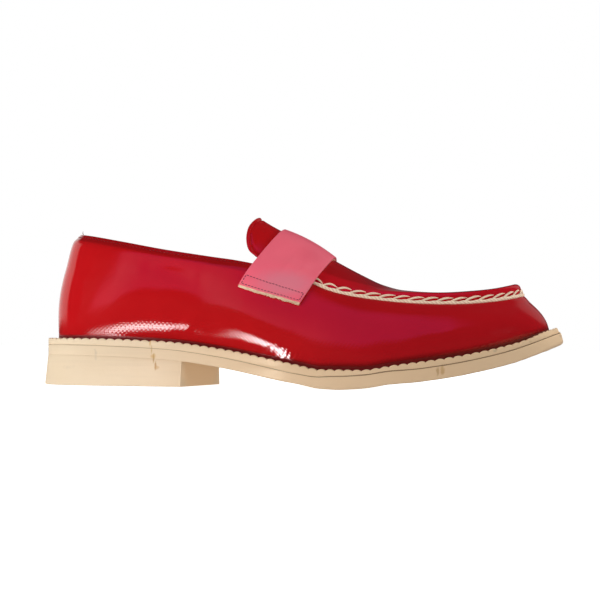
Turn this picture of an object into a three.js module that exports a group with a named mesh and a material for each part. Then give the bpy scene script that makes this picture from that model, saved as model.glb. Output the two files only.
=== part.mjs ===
// A slip-on loafer for the right foot, standing empty on its sole.
// Millimetres: +X points to the toe, +Z up, and -Y to the outer side of the foot.
// The origin is on the floor, under the middle of the shoe.
import * as THREE from 'three';

// Driving sizes
const shoeLength = 300;
const ballWidth = 106;
const backHeight = 89;
const pieceGap = 0.3;
const wallThickness = 2.2;
const outsoleThickness = 6;
const insoleThickness = 3;
const heelFlare = 1.6;
const breastOuterX = -61;
const breastInnerX = -54;

// The strap lies square across the slope of the instep.
// arm: from the ridge down to the cut end; slant: how much shorter the arm is at the front edge
const strap = {
  slope: 28.5, centre: -34.4, halfWidth: 17, flare: 1.2, arm: 53.5, slant: 3.5, thickness: 1.6, gap: 0.75,
};

// The top edge of the welt is wheeled all round with small notches.
const welt = { notches: 150, notchDepth: 0.8, pointsPerNotch: 3 };

// The wall of the upper stands upright behind the welt before it swells.
const featherRise = 0.6;

// The apron stands on the wall's top edge, a little inside it, with a turned-down rim.
// Where the rim rises less than flatRise the sheet ends square, as on the tongue.
const apron = {
  ledge: 0.8, thickness: 2, rimLean: 0.3, rimRound: 1.8, shoulder: 0.75, crown: 0.42,
  flatRise: 0.8, turnedRise: 2.5,
};

// One row for each section of the last, from the back of the heel to the tip of the toe.
// along, outer, inner: edge of the outsole, in % of the length and of half the ball width
// inset: from that edge in to the foot of the upper, in mm
// topAlong, topOuter, topInner, topHeight: top edge of the wall, which is the topline as far
// as the throat and then the apron's seam, in % of length, half ball width and back height
// belly, shoulder: how far the wall swells low down and high up, in mm
const sections = [
  { along: 0.5, outer: 0, inner: 0, inset: 6,
    topAlong: 6.1, topOuter: 0, topInner: 0, topHeight: 99.6, belly: 5.5, shoulder: 5.5 },
  { along: 2.5, outer: 38, inner: 38, inset: 5.8,
    topAlong: 7.6, topOuter: 24, topInner: 24, topHeight: 98.6, belly: 5.5, shoulder: 5.5 },
  { along: 7.3, outer: 60.5, inner: 60.5, inset: 5.5,
    topAlong: 11.2, topOuter: 38.5, topInner: 38.5, topHeight: 96.6, belly: 5.3, shoulder: 5.3 },
  { along: 14, outer: 67, inner: 67, inset: 5,
    topAlong: 17.3, topOuter: 48.5, topInner: 48, topHeight: 92.8, belly: 5, shoulder: 5.5 },
  { along: 23.5, outer: 66, inner: 64, inset: 4.5,
    topAlong: 25.3, topOuter: 55, topInner: 53.5, topHeight: 87.7, belly: 5, shoulder: 5.5 },
  { along: 33.5, outer: 68, inner: 58.5, inset: 4.5,
    topAlong: 33.7, topOuter: 57.5, topInner: 55, topHeight: 83.5, belly: 5.5, shoulder: 6.5 },
  { along: 42.5, outer: 75.5, inner: 59.5, inset: 4.5,
    topAlong: 41.3, topOuter: 58.5, topInner: 55, topHeight: 79.8, belly: 7, shoulder: 9 },
  { along: 51.5, outer: 87.5, inner: 70, inset: 4.8,
    topAlong: 50, topOuter: 55, topInner: 54, topHeight: 71.9, belly: 9, shoulder: 10 },
  { along: 60, outer: 97, inner: 86, inset: 5,
    topAlong: 57.7, topOuter: 57, topInner: 57.5, topHeight: 61, belly: 9, shoulder: 9 },
  { along: 68.5, outer: 100, inner: 97, inset: 5,
    topAlong: 65.7, topOuter: 59, topInner: 61.5, topHeight: 56, belly: 9, shoulder: 8.5 },
  { along: 76.5, outer: 93.5, inner: 100, inset: 5,
    topAlong: 73.3, topOuter: 58, topInner: 66, topHeight: 53.8, belly: 9, shoulder: 8 },
  { along: 84.5, outer: 79, inner: 95.5, inset: 5.4,
    topAlong: 80.7, topOuter: 51, topInner: 66, topHeight: 53.7, belly: 8.5, shoulder: 7 },
  { along: 90.5, outer: 60.5, inner: 84, inset: 6,
    topAlong: 86.3, topOuter: 39, topInner: 60, topHeight: 55.4, belly: 7.5, shoulder: 5.5 },
  { along: 95.5, outer: 37, inner: 67, inset: 7,
    topAlong: 89.8, topOuter: 22, topInner: 47, topHeight: 57.6, belly: 6, shoulder: 3.5 },
  { along: 98.6, outer: 11, inner: 47, inset: 8,
    topAlong: 91.7, topOuter: 4, topInner: 32, topHeight: 59.4, belly: 5, shoulder: 2.5 },
  { along: 100, outer: -19, inner: 19, inset: 8.3,
    topAlong: 92.3, topOuter: -14, topInner: 14, topHeight: 60.1, belly: 4.5, shoulder: 2.2 },
];

// Underside of the outsole and thickness of the welt along the shoe, in mm.
// Two equal zeros make the flat spot under the ball.
const soleProfile = [
  { along: 0, bottom: 17.2, welt: 3.3 },
  { along: 10, bottom: 17, welt: 3.5 },
  { along: 26, bottom: 15.2, welt: 4 },
  { along: 36.7, bottom: 11.2, welt: 4.4 },
  { along: 47, bottom: 5.3, welt: 4.7 },
  { along: 52, bottom: 2.3, welt: 4.8 },
  { along: 56.5, bottom: 0, welt: 4.8 },
  { along: 63.5, bottom: 0, welt: 4.8 },
  { along: 70, bottom: 2.9, welt: 4.8 },
  { along: 80, bottom: 7.5, welt: 4.8 },
  { along: 89.5, bottom: 14.2, welt: 4.5 },
  { along: 100, bottom: 26, welt: 3.6 },
];

// The free edge of the tongue, from its tip to its root beside the throat, in mm.
// spine: where the same section meets the ridge of the instep
const tongueRows = [
  { x: -24.6, half: 0, height: 96.4, rise: 0.8, spine: -15.6 },
  { x: -27, half: 13, height: 90.8, rise: 0.8, spine: -15 },
  { x: -26.8, half: 20, height: 84, rise: 0.8, spine: -14 },
  { x: -24.2, half: 24.8, height: 77.4, rise: 0.8, spine: -12.4 },
  { x: -19, half: 27, height: 72.8, rise: 1, spine: -8.4 },
];

// The apron's rim from the throat to the toe: which section of the last, height of the rim,
// and where that section meets the ridge, in mm.
const apronRows = [
  { section: 7, rise: 2, spine: 6 },
  { section: 8, rise: 3, spine: 27 },
  { section: 9, rise: 4.6, spine: 47 },
  { section: 10, rise: 5.4, spine: 67 },
  { section: 11, rise: 5.6, spine: 83 },
  { section: 12, rise: 5.9, spine: 93 },
  { section: 13, rise: 6, spine: 97 },
  { section: 14, rise: 6, spine: 98.6 },
  { section: 15, rise: 6, spine: 99.2 },
];

// The ridge of the instep over apron and tongue, in mm.
const ridge = [
  { x: -26, y: 0, height: 97.8 },
  { x: -9, y: 0, height: 88.6 },
  { x: 21, y: 0, height: 72.2 },
  { x: 37, y: 0.5, height: 63.8 },
  { x: 48, y: 1.5, height: 58.8 },
  { x: 60, y: 2.5, height: 55.8 },
  { x: 78, y: 4, height: 54.6 },
  { x: 100, y: 7, height: 55.8 },
];

const halfBall = ballWidth / 2;
const lastRow = sections.length - 1;
const outerSide = -1;
const innerSide = 1;

// A smooth curve through rows of a table that never swings past its rows.
function smoothColumn(rows, key, column) {
  const slopes = rows.slice(1).map((row, i) => (row[column] - rows[i][column]) / (row[key] - rows[i][key]));
  const tangents = rows.map((row, i) => {
    const before = slopes[Math.max(i - 1, 0)];
    const after = slopes[Math.min(i, slopes.length - 1)];
    return before * after <= 0 ? 0 : (2 * before * after) / (before + after);
  });
  return (value) => {
    const at = Math.min(Math.max(value, rows[0][key]), rows[rows.length - 1][key]);
    let i = 0;
    while (i < rows.length - 2 && at > rows[i + 1][key]) {
      i += 1;
    }
    const width = rows[i + 1][key] - rows[i][key];
    const u = (at - rows[i][key]) / width;
    const startWeight = (1 + 2 * u) * (1 - u) * (1 - u);
    const endWeight = u * u * (3 - 2 * u);
    const startPull = u * (1 - u) * (1 - u) * width * tangents[i];
    const endPull = u * u * (u - 1) * width * tangents[i + 1];
    return startWeight * rows[i][column] + endWeight * rows[i + 1][column] + startPull + endPull;
  };
}

const lengthAt = (along) => (along / 100 - 0.5) * shoeLength;
const alongAt = (x) => (x / shoeLength + 0.5) * 100;
const bottomCurve = smoothColumn(soleProfile, 'along', 'bottom');
const weltCurve = smoothColumn(soleProfile, 'along', 'welt');
const soleBottom = (x) => bottomCurve(alongAt(x));
const soleTop = (x) => soleBottom(x) + outsoleThickness;
const weltTop = (x) => soleTop(x) + pieceGap + weltCurve(alongAt(x));
const ridgeHeight = smoothColumn(ridge, 'x', 'height');
const ridgeSide = smoothColumn(ridge, 'x', 'y');

// A closed curve round the shoe: down the outer side to the toe, and back up the inner side.
function loopThrough(rowCount, pointAt) {
  const points = [];
  for (let row = 0; row < rowCount; row += 1) {
    points.push(pointAt(row, outerSide));
  }
  for (let row = rowCount - 2; row > 0; row -= 1) {
    points.push(pointAt(row, innerSide));
  }
  return new THREE.CatmullRomCurve3(points, true, 'centripetal');
}

const acrossAt = (side, outer, inner) => (side === outerSide ? -outer : inner) * halfBall / 100;

function soleEdge(row, side) {
  const section = sections[row];
  return new THREE.Vector3(lengthAt(section.along), acrossAt(side, section.outer, section.inner), 0);
}

function topEdge(row, side) {
  const section = sections[row];
  const y = acrossAt(side, section.topOuter, section.topInner);
  return new THREE.Vector3(lengthAt(section.topAlong), y, section.topHeight / 100 * backHeight);
}

function wallTrim(row) {
  const section = sections[row];
  return new THREE.Vector3(section.inset, section.belly, section.shoulder);
}

const soleLoop = loopThrough(sections.length, soleEdge);
const topLoop = loopThrough(sections.length, topEdge);
const trimLoop = loopThrough(sections.length, wallTrim);

// Outward direction of a loop, seen from above.
function outwardAt(loop, t) {
  const tangent = loop.getTangent(t);
  return new THREE.Vector3(tangent.y, -tangent.x, 0).normalize();
}

function soleOffset(t, distance) {
  return soleLoop.getPoint(t).addScaledVector(outwardAt(soleLoop, t), distance);
}

const footInset = (t) => trimLoop.getPoint(t).x;

// Turns a list of points and triangles into a closed piece whose faces point outwards.
function pieceFrom(name, points, triangles, look) {
  let volume = 0;
  for (const [a, b, c] of triangles) {
    volume += points[a].dot(new THREE.Vector3().crossVectors(points[b], points[c]));
  }
  const faces = volume < 0 ? triangles.map(([a, b, c]) => [a, c, b]) : triangles;
  const geometry = new THREE.BufferGeometry();
  geometry.setAttribute('position', new THREE.Float32BufferAttribute(points.flatMap((p) => p.toArray()), 3));
  geometry.setIndex(faces.flat());
  geometry.computeVertexNormals();
  const piece = new THREE.Mesh(geometry, new THREE.MeshStandardMaterial(look));
  piece.name = name;
  return piece;
}

function addQuad(triangles, a, b, c, d) {
  triangles.push([a, b, c], [a, c, d]);
}

// A closed band: a closed section carried along a closed loop of stations.
function bandPiece(name, stations, look) {
  const size = stations[0].length;
  const triangles = [];
  stations.forEach((station, i) => {
    const next = (i + 1) % stations.length;
    station.forEach((point, j) => {
      const after = (j + 1) % size;
      addQuad(triangles, i * size + j, next * size + j, next * size + after, i * size + after);
    });
  });
  return pieceFrom(name, stations.flat(), triangles, look);
}

// A band whose sections start and end on a shared middle line, so that both ends close there.
function openBand(name, stations, look) {
  const size = stations[0].length;
  const count = stations.length;
  const points = stations.flat();
  const owner = (i, j) => {
    const shared = j === 0 || j === size - 1;
    const station = shared && i > count / 2 ? count - i : i;
    return (station % count) * size + j;
  };
  const triangles = [];
  for (let i = 0; i < count; i += 1) {
    const next = (i + 1) % count;
    for (let j = 0; j + 1 < size; j += 1) {
      addQuad(triangles, owner(i, j), owner(next, j), owner(next, j + 1), owner(i, j + 1));
    }
  }
  return pieceFrom(name, points, triangles, look);
}

// A slab between two outlines with the same stations, closed across from side to side.
// outline(step, side, level) gives a point; level is 0 underneath and 1 on top.
// Both sides share the first point, and the last one too where the front is closed.
function slabPiece(name, steps, outline, closedFront, look) {
  const points = [];
  const triangles = [];
  const order = [];
  for (let step = 0; step <= steps; step += 1) {
    order.push([step, outerSide]);
  }
  for (let step = closedFront ? steps - 1 : steps; step > 0; step -= 1) {
    order.push([step, innerSide]);
  }
  const count = order.length;
  for (const level of [0, 1]) {
    order.forEach(([step, side]) => points.push(outline(step, side, level)));
  }
  for (let i = 0; i < count; i += 1) {
    const next = (i + 1) % count;
    addQuad(triangles, i, next, count + next, count + i);
  }
  for (let i = 0; i + 1 <= count - i - 1; i += 1) {
    const far = (count - i) % count;
    const nextFar = count - i - 1;
    if (far !== i) {
      triangles.push([i, far, nextFar], [count + i, count + nextFar, count + far]);
    }
    if (nextFar !== i + 1) {
      triangles.push([i, nextFar, i + 1], [count + i, count + i + 1, count + nextFar]);
    }
  }
  return pieceFrom(name, points, triangles, look);
}

// Finds where a side of the sole's edge passes a given distance along the shoe.
function stationAt(x, side) {
  let low = 0;
  let high = 0.5;
  for (let step = 0; step < 30; step += 1) {
    const middle = (low + high) / 2;
    const t = side === outerSide ? middle : 1 - middle;
    if (soleLoop.getPoint(t).x < x) {
      low = middle;
    } else {
      high = middle;
    }
  }
  return low;
}

const cream = { color: 0xeadbb9, roughness: 0.62, metalness: 0 };
const redGloss = { color: 0xb8141f, roughness: 0.16, metalness: 0 };

function makeHeel() {
  const steps = 14;
  const reach = {
    [outerSide]: stationAt(breastOuterX, outerSide),
    [innerSide]: stationAt(breastInnerX, innerSide),
  };
  const outline = (step, side, level) => {
    const share = reach[side] * step / steps;
    const t = side === outerSide ? share : (1 - share) % 1;
    const point = soleOffset(t, level === 1 ? 0 : heelFlare);
    point.z = level === 1 ? soleBottom(point.x) - pieceGap : 0;
    return point;
  };
  return slabPiece('heel', steps, outline, false, cream);
}

// Steps along each side of a slab, enough to keep it close to the finer welt.
const sideSteps = 5 * lastRow;

// A full-length slab, set in from the edge of the outsole.
function soleSlab(name, inset, bottomAt, topAt, look) {
  const outline = (step, side, level) => {
    const share = step / sideSteps / 2;
    const t = side === outerSide ? share : 1 - share;
    const point = soleOffset(t, -inset(t));
    point.z = level === 1 ? topAt(point.x) : bottomAt(point.x);
    return point;
  };
  return slabPiece(name, sideSteps, outline, true, look);
}

function makeOutsole() {
  return soleSlab('outsole', () => 0, soleBottom, soleTop, cream);
}

function makeInsole() {
  const inset = (t) => footInset(t) + wallThickness + pieceGap;
  const bottomAt = (x) => soleTop(x) + pieceGap;
  const topAt = (x) => bottomAt(x) + insoleThickness;
  return soleSlab('insole', inset, bottomAt, topAt, { color: 0xc9a878, roughness: 0.7, metalness: 0 });
}

// The welt fills the ledge between the foot of the upper and the edge of the outsole.
function makeWelt() {
  const count = welt.notches * welt.pointsPerNotch;
  const stations = [];
  for (let i = 0; i < count; i += 1) {
    const t = soleLoop.getUtoTmapping(i / count);
    const cut = i % welt.pointsPerNotch === 0 ? welt.notchDepth : 0;
    const edge = soleOffset(t, 0);
    const foot = soleOffset(t, pieceGap - footInset(t));
    const seat = (point) => soleTop(point.x) + pieceGap;
    const crest = (point) => weltTop(point.x) - cut;
    stations.push([
      new THREE.Vector3(edge.x, edge.y, seat(edge)),
      new THREE.Vector3(edge.x, edge.y, crest(edge)),
      new THREE.Vector3(foot.x, foot.y, crest(foot)),
      new THREE.Vector3(foot.x, foot.y, seat(foot)),
    ]);
  }
  return bandPiece('welt', stations, cream);
}

// Outer face of the upper's wall at one station, from its foot to its top edge.
function wallColumn(t, steps) {
  const foot = soleOffset(t, -footInset(t));
  const top = topLoop.getPoint(t);
  const trim = trimLoop.getPoint(t);
  const seat = new THREE.Vector3(foot.x, foot.y, soleTop(foot.x) + pieceGap);
  const feather = new THREE.Vector3(foot.x, foot.y, weltTop(foot.x) + featherRise);
  const chord = new THREE.Vector3().subVectors(top, feather);
  const outward = outwardAt(soleLoop, t);
  const swell = outward.clone().addScaledVector(chord, -outward.dot(chord) / chord.lengthSq()).normalize();
  const low = feather.clone().addScaledVector(chord, 1 / 3).addScaledVector(swell, trim.y);
  const high = feather.clone().addScaledVector(chord, 2 / 3).addScaledVector(swell, trim.z);
  const curve = new THREE.CubicBezierCurve3(feather, low, high, top);
  return [seat, ...curve.getPoints(steps)];
}

// Normals of a grid of points whose first direction runs round a closed loop.
function gridNormals(grid) {
  const count = grid.length;
  return grid.map((column, i) => column.map((point, j) => {
    const ahead = grid[(i + 1) % count][j];
    const behind = grid[(i + count - 1) % count][j];
    const above = column[Math.min(j + 1, column.length - 1)];
    const below = column[Math.max(j - 1, 0)];
    const round = new THREE.Vector3().subVectors(ahead, behind);
    const rise = new THREE.Vector3().subVectors(above, below);
    return round.cross(rise).normalize();
  }));
}

function makeUpper() {
  const stationsPerSection = 3;
  const wallSteps = 7;
  const count = 2 * lastRow * stationsPerSection;
  const outside = [];
  for (let i = 0; i < count; i += 1) {
    outside.push(wallColumn(i / count, wallSteps));
  }
  const normals = gridNormals(outside);
  const stations = outside.map((column, i) => {
    const inside = column.map((point, j) => point.clone().addScaledVector(normals[i][j], -wallThickness));
    return [...column, ...inside.reverse()];
  });
  return bandPiece('upper', stations, redGloss);
}

// Rows of the apron and tongue in one list, from the tip of the tongue to the toe.
function apronPlan() {
  const seam = apronRows.map((row) => {
    const t = row.section / lastRow / 2;
    const edge = { [outerSide]: topLoop.getPoint(t), [innerSide]: topLoop.getPoint(1 - t) };
    edge[outerSide].addScaledVector(outwardAt(topLoop, t), -apron.ledge);
    edge[innerSide].addScaledVector(outwardAt(topLoop, 1 - t), -apron.ledge);
    return { edge, lift: pieceGap, rise: row.rise, spine: row.spine };
  });
  const tongue = tongueRows.map((row) => {
    const edge = {
      [outerSide]: new THREE.Vector3(row.x, -row.half, row.height),
      [innerSide]: new THREE.Vector3(row.x, row.half, row.height),
    };
    return { edge, lift: 0, rise: row.rise, spine: row.spine };
  });
  return [...tongue, ...seam];
}

// The apron is domed from its rim to the ridge of the instep, and flat over the toes.
function makeApron() {
  const plan = apronPlan();
  const domeSteps = 4;
  const stationsPerRow = 3;
  const edgeLoop = loopThrough(plan.length, (row, side) => plan[row].edge[side].clone().setZ(
    plan[row].edge[side].z + plan[row].lift));
  const planLoop = loopThrough(plan.length, (row) => new THREE.Vector3(plan[row].rise, plan[row].spine, 0));
  const count = 2 * (plan.length - 1) * stationsPerRow;
  const outside = [];
  const undersides = [];
  for (let i = 0; i < count; i += 1) {
    const t = i / count;
    const mirrored = Math.min(t, 1 - t);
    const inward = outwardAt(edgeLoop, t).negate();
    const rise = planLoop.getPoint(mirrored).x;
    const spineX = planLoop.getPoint(mirrored).y;
    const edge = edgeLoop.getPoint(t);
    const lean = edge.clone().addScaledVector(inward, apron.rimLean);
    lean.z += rise * apron.shoulder;
    const rim = edge.clone().addScaledVector(inward, apron.rimRound);
    rim.z += rise;
    const crest = new THREE.Vector3(spineX, ridgeSide(spineX), ridgeHeight(spineX));
    const slope = (ridgeHeight(spineX + 1) - ridgeHeight(spineX - 1)) / 2;
    const pull = crest.clone().lerp(rim, apron.crown);
    pull.z = crest.z + slope * (pull.x - crest.x);
    const dome = new THREE.QuadraticBezierCurve3(rim, pull, crest);
    outside.push([edge, lean, ...dome.getPoints(domeSteps)]);
    undersides.push({ inward, rise, fall: new THREE.Vector3(slope, 0, -1).normalize() });
  }
  const normals = gridNormals(outside);
  const firstDome = 2;
  const stations = outside.map((column, i) => {
    const { inward, rise, fall } = undersides[i];
    const turned = THREE.MathUtils.smoothstep(rise, apron.flatRise, apron.turnedRise);
    const under = normals[i][firstDome].clone().negate().lerp(inward, turned).normalize();
    const hem = column[0].clone().addScaledVector(under, apron.thickness);
    const inside = column.slice(firstDome).map((point, j) => {
      const last = j === domeSteps;
      const direction = last ? fall : normals[i][firstDome + j].clone().negate();
      return point.clone().addScaledVector(direction, apron.thickness);
    });
    return [...inside.reverse(), hem, ...column];
  });
  return openBand('apron', stations, redGloss);
}

// The strap is drawn taut over the wall and the apron, and lies flat on both sides.
function makeStrap(carriers) {
  const slope = THREE.MathUtils.degToRad(strap.slope);
  const widthWay = new THREE.Vector3(Math.cos(slope), 0, -Math.sin(slope));
  const liftWay = new THREE.Vector3(Math.sin(slope), 0, Math.cos(slope));
  const columns = 8;
  const armSteps = 16;
  const rayStart = 130;
  const reach = 58;
  const placed = (across, y, lift) => new THREE.Vector3(0, y, 0)
    .addScaledVector(widthWay, across).addScaledVector(liftWay, lift);
  const ray = new THREE.Raycaster();
  const surfaceAt = (across, y) => {
    ray.set(placed(across, y, rayStart), liftWay.clone().negate());
    const hit = ray.intersectObjects(carriers)[0];
    return hit ? new THREE.Vector2(y, rayStart - hit.distance) : null;
  };
  const topRows = [];
  const underRows = [];
  for (let column = 0; column <= columns; column += 1) {
    const share = 2 * column / columns - 1;
    const acrossFor = (y) => strap.centre + share * (strap.halfWidth + strap.flare * Math.abs(y) / reach);
    const profile = [];
    for (let y = -reach; y <= reach; y += 1) {
      const point = surfaceAt(acrossFor(y), y);
      if (point) {
        profile.push(point);
      }
    }
    const taut = pulledTaut(profile);
    const line = [];
    for (let step = -armSteps; step <= armSteps; step += 1) {
      line.push(pointAlong(taut, step / armSteps * (strap.arm - share * strap.slant / 2)));
    }
    const under = [];
    const over = [];
    line.forEach((point, i) => {
      const before = line[Math.max(i - 1, 0)];
      const after = line[Math.min(i + 1, line.length - 1)];
      const normal = new THREE.Vector2(before.y - after.y, after.x - before.x).normalize();
      const low = point.clone().addScaledVector(normal, strap.gap);
      const high = point.clone().addScaledVector(normal, strap.gap + strap.thickness);
      under.push(placed(acrossFor(point.x), low.x, low.y));
      over.push(placed(acrossFor(point.x), high.x, high.y));
    });
    topRows.push(over);
    underRows.push(under);
  }
  return platePiece('strap', topRows, underRows, { color: 0xe0708c, roughness: 0.35, metalness: 0 });
}

// Upper hull of a profile, left to right.
function pulledTaut(profile) {
  const hull = [];
  for (const point of profile) {
    while (hull.length > 1) {
      const a = hull[hull.length - 2];
      const b = hull[hull.length - 1];
      const turn = (b.x - a.x) * (point.y - a.y) - (b.y - a.y) * (point.x - a.x);
      if (turn < 0) {
        break;
      }
      hull.pop();
    }
    hull.push(point);
  }
  return hull;
}

// Point at a distance along a profile, measured from where it crosses the middle of the shoe.
function pointAlong(profile, distance) {
  const lengths = [0];
  for (let i = 1; i < profile.length; i += 1) {
    lengths.push(lengths[i - 1] + profile[i].distanceTo(profile[i - 1]));
  }
  let middle = 0;
  while (profile[middle + 1].x < 0) {
    middle += 1;
  }
  const share = -profile[middle].x / (profile[middle + 1].x - profile[middle].x);
  const target = lengths[middle] + share * (lengths[middle + 1] - lengths[middle]) + distance;
  let i = 0;
  while (i < profile.length - 2 && lengths[i + 1] < target) {
    i += 1;
  }
  const u = (target - lengths[i]) / (lengths[i + 1] - lengths[i]);
  return profile[i].clone().lerp(profile[i + 1], u);
}

// A sheet with a top and an underside on the same grid, closed round its four edges.
function platePiece(name, topRows, underRows, look) {
  const rows = topRows.length;
  const size = topRows[0].length;
  const half = rows * size;
  const points = [...topRows.flat(), ...underRows.flat()];
  const triangles = [];
  for (let r = 0; r + 1 < rows; r += 1) {
    for (let j = 0; j + 1 < size; j += 1) {
      const a = r * size + j;
      addQuad(triangles, a, a + 1, a + size + 1, a + size);
      addQuad(triangles, half + a, half + a + size, half + a + size + 1, half + a + 1);
    }
    const left = r * size;
    const right = left + size - 1;
    addQuad(triangles, left, left + size, half + left + size, half + left);
    addQuad(triangles, right, half + right, half + right + size, right + size);
  }
  for (let j = 0; j + 1 < size; j += 1) {
    const last = (rows - 1) * size + j;
    addQuad(triangles, j, half + j, half + j + 1, j + 1);
    addQuad(triangles, last, last + 1, half + last + 1, half + last);
  }
  return pieceFrom(name, points, triangles, look);
}

const loafer = new THREE.Group();
const upperPiece = makeUpper();
const apronPiece = makeApron();
loafer.add(makeHeel(), makeOutsole(), makeWelt(), makeInsole(), upperPiece, apronPiece);
loafer.add(makeStrap([upperPiece, apronPiece]));

export default loafer;
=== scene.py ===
import math
import bmesh
import bpy
import numpy as np
from mathutils import Matrix, Vector
from mathutils.bvhtree import BVHTree


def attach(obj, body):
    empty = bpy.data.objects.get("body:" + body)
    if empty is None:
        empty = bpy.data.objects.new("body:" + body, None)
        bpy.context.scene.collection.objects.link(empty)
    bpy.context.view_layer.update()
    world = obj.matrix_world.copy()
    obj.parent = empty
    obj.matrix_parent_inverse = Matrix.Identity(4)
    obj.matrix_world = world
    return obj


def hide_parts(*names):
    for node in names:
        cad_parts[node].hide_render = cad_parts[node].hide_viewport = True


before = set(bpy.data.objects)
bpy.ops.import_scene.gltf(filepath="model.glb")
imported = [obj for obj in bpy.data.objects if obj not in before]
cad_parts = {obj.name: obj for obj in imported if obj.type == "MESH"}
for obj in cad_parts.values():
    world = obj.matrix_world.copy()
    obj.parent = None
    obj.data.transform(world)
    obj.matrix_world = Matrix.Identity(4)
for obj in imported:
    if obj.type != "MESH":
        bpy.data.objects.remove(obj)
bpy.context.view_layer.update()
print("frame loaded:", ", ".join(sorted(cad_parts)))

mm = 0.001
loopStep = 1e-4  # how far apart two places on a loop are taken to find its direction

# Sizes in mm, the same as the solids': +X to the toe, +Z up, -Y to the outer side of the foot.
shoe = {
    "length": 300, "halfBall": 53, "backHeight": 89, "gap": 0.3, "wall": 2.2, "featherRise": 0.6,
    "outsole": 6, "insole": 3, "heelFlare": 1.6, "breastOuter": -61, "breastInner": -54,
}

# along, outer, inner, inset | topAlong, topOuter, topInner, topHeight | belly, shoulder
sections = np.array([
    (0.5, 0, 0, 6, 6.1, 0, 0, 99.6, 5.5, 5.5),
    (2.5, 38, 38, 5.8, 7.6, 24, 24, 98.6, 5.5, 5.5),
    (7.3, 60.5, 60.5, 5.5, 11.2, 38.5, 38.5, 96.6, 5.3, 5.3),
    (14, 67, 67, 5, 17.3, 48.5, 48, 92.8, 5, 5.5),
    (23.5, 66, 64, 4.5, 25.3, 55, 53.5, 87.7, 5, 5.5),
    (33.5, 68, 58.5, 4.5, 33.7, 57.5, 55, 83.5, 5.5, 6.5),
    (42.5, 75.5, 59.5, 4.5, 41.3, 58.5, 55, 79.8, 7, 9),
    (51.5, 87.5, 70, 4.8, 50, 55, 54, 71.9, 9, 10),
    (60, 97, 86, 5, 57.7, 57, 57.5, 61, 9, 9),
    (68.5, 100, 97, 5, 65.7, 59, 61.5, 56, 9, 8.5),
    (76.5, 93.5, 100, 5, 73.3, 58, 66, 53.8, 9, 8),
    (84.5, 79, 95.5, 5.4, 80.7, 51, 66, 53.7, 8.5, 7),
    (90.5, 60.5, 84, 6, 86.3, 39, 60, 55.4, 7.5, 5.5),
    (95.5, 37, 67, 7, 89.8, 22, 47, 57.6, 6, 3.5),
    (98.6, 11, 47, 8, 91.7, 4, 32, 59.4, 5, 2.5),
    (100, -19, 19, 8.3, 92.3, -14, 14, 60.1, 4.5, 2.2),
])

# along, underside of the outsole, thickness of the welt
soleProfile = np.array([
    (0, 17.2, 3.3), (10, 17, 3.5), (26, 15.2, 4), (36.7, 11.2, 4.4), (47, 5.3, 4.7), (52, 2.3, 4.8),
    (56.5, 0, 4.8), (63.5, 0, 4.8), (70, 2.9, 4.8), (80, 7.5, 4.8), (89.5, 14.2, 4.5), (100, 26, 3.6),
])

# free edge of the tongue: x, half width, height, rise of the rim, where its section meets the ridge
tongueRows = [
    (-25.6, 0, 96.4, 0.8, -15.6), (-28.2, 13, 90.6, 0.8, -15), (-28, 20, 83.4, 0.8, -14),
    (-25.2, 24.8, 76.6, 0.8, -12.4), (-19.4, 27, 72.6, 1, -8.4),
]

# the apron's rim: section of the last, rise of the rim, where its section meets the ridge
apronRows = [
    (7, 2, 6), (8, 3, 27), (9, 4.6, 47), (10, 5.4, 67), (11, 5.6, 83), (12, 5.9, 93), (13, 6, 97),
    (14, 6, 98.6), (15, 6, 99.2),
]

# ridge of the instep: x, y, height
ridge = np.array([
    (-26, 0, 97.8), (-9, 0, 88.6), (21, 0, 72.2), (37, 0.5, 63.8), (48, 1.5, 58.8), (60, 2.5, 55.8),
    (78, 4, 54.6), (100, 7, 55.8),
])


def smoothColumn(keys, values):  # a curve through rows that never swings past them
    slopes = np.diff(values) / np.diff(keys)
    before = np.concatenate([slopes[:1], slopes])
    after = np.concatenate([slopes, slopes[-1:]])
    same = before * after > 0
    tangents = np.where(same, 2 * before * after / np.where(same, before + after, 1), 0)

    def curve(value):
        v = np.clip(value, keys[0], keys[-1])
        i = np.clip(np.searchsorted(keys, v) - 1, 0, len(keys) - 2)
        width = keys[i + 1] - keys[i]
        u = (v - keys[i]) / width
        ends = (1 + 2 * u) * (1 - u) ** 2 * values[i] + u * u * (3 - 2 * u) * values[i + 1]
        return ends + u * (1 - u) ** 2 * width * tangents[i] + u * u * (u - 1) * width * tangents[i + 1]

    return curve


def closedCurve(points):  # centripetal curve through a ring of points, t from 0 to 1
    points = np.asarray(points, float)
    count = len(points)

    def curve(t):
        s = (np.asarray(t, float) % 1) * count
        i = np.floor(s).astype(int)
        u = (s - i)[..., None]
        p0, p1, p2, p3 = (points[(i + k) % count] for k in (-1, 0, 1, 2))
        d0, d1, d2 = (np.sqrt(np.linalg.norm(b - a, axis=-1, keepdims=True))
                      for a, b in ((p0, p1), (p1, p2), (p2, p3)))
        d1 = np.where(d1 < 1e-4, 1, d1)
        d0 = np.where(d0 < 1e-4, d1, d0)
        d2 = np.where(d2 < 1e-4, d1, d2)
        m1 = ((p1 - p0) / d0 - (p2 - p0) / (d0 + d1) + (p2 - p1) / d1) * d1
        m2 = ((p2 - p1) / d1 - (p3 - p1) / (d1 + d2) + (p3 - p2) / d2) * d1
        cubic = 2 * p1 - 2 * p2 + m1 + m2
        square = 3 * p2 - 3 * p1 - 2 * m1 - m2
        return ((cubic * u + square) * u + m1) * u + p1

    return curve


def sideLoop(outer, inner):  # heel to toe down the outer side, and back along the inner one
    return closedCurve(list(outer) + list(inner[-2:0:-1]))


def unit(v):
    return v / np.maximum(np.linalg.norm(v, axis=-1, keepdims=True), 1e-9)


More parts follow.
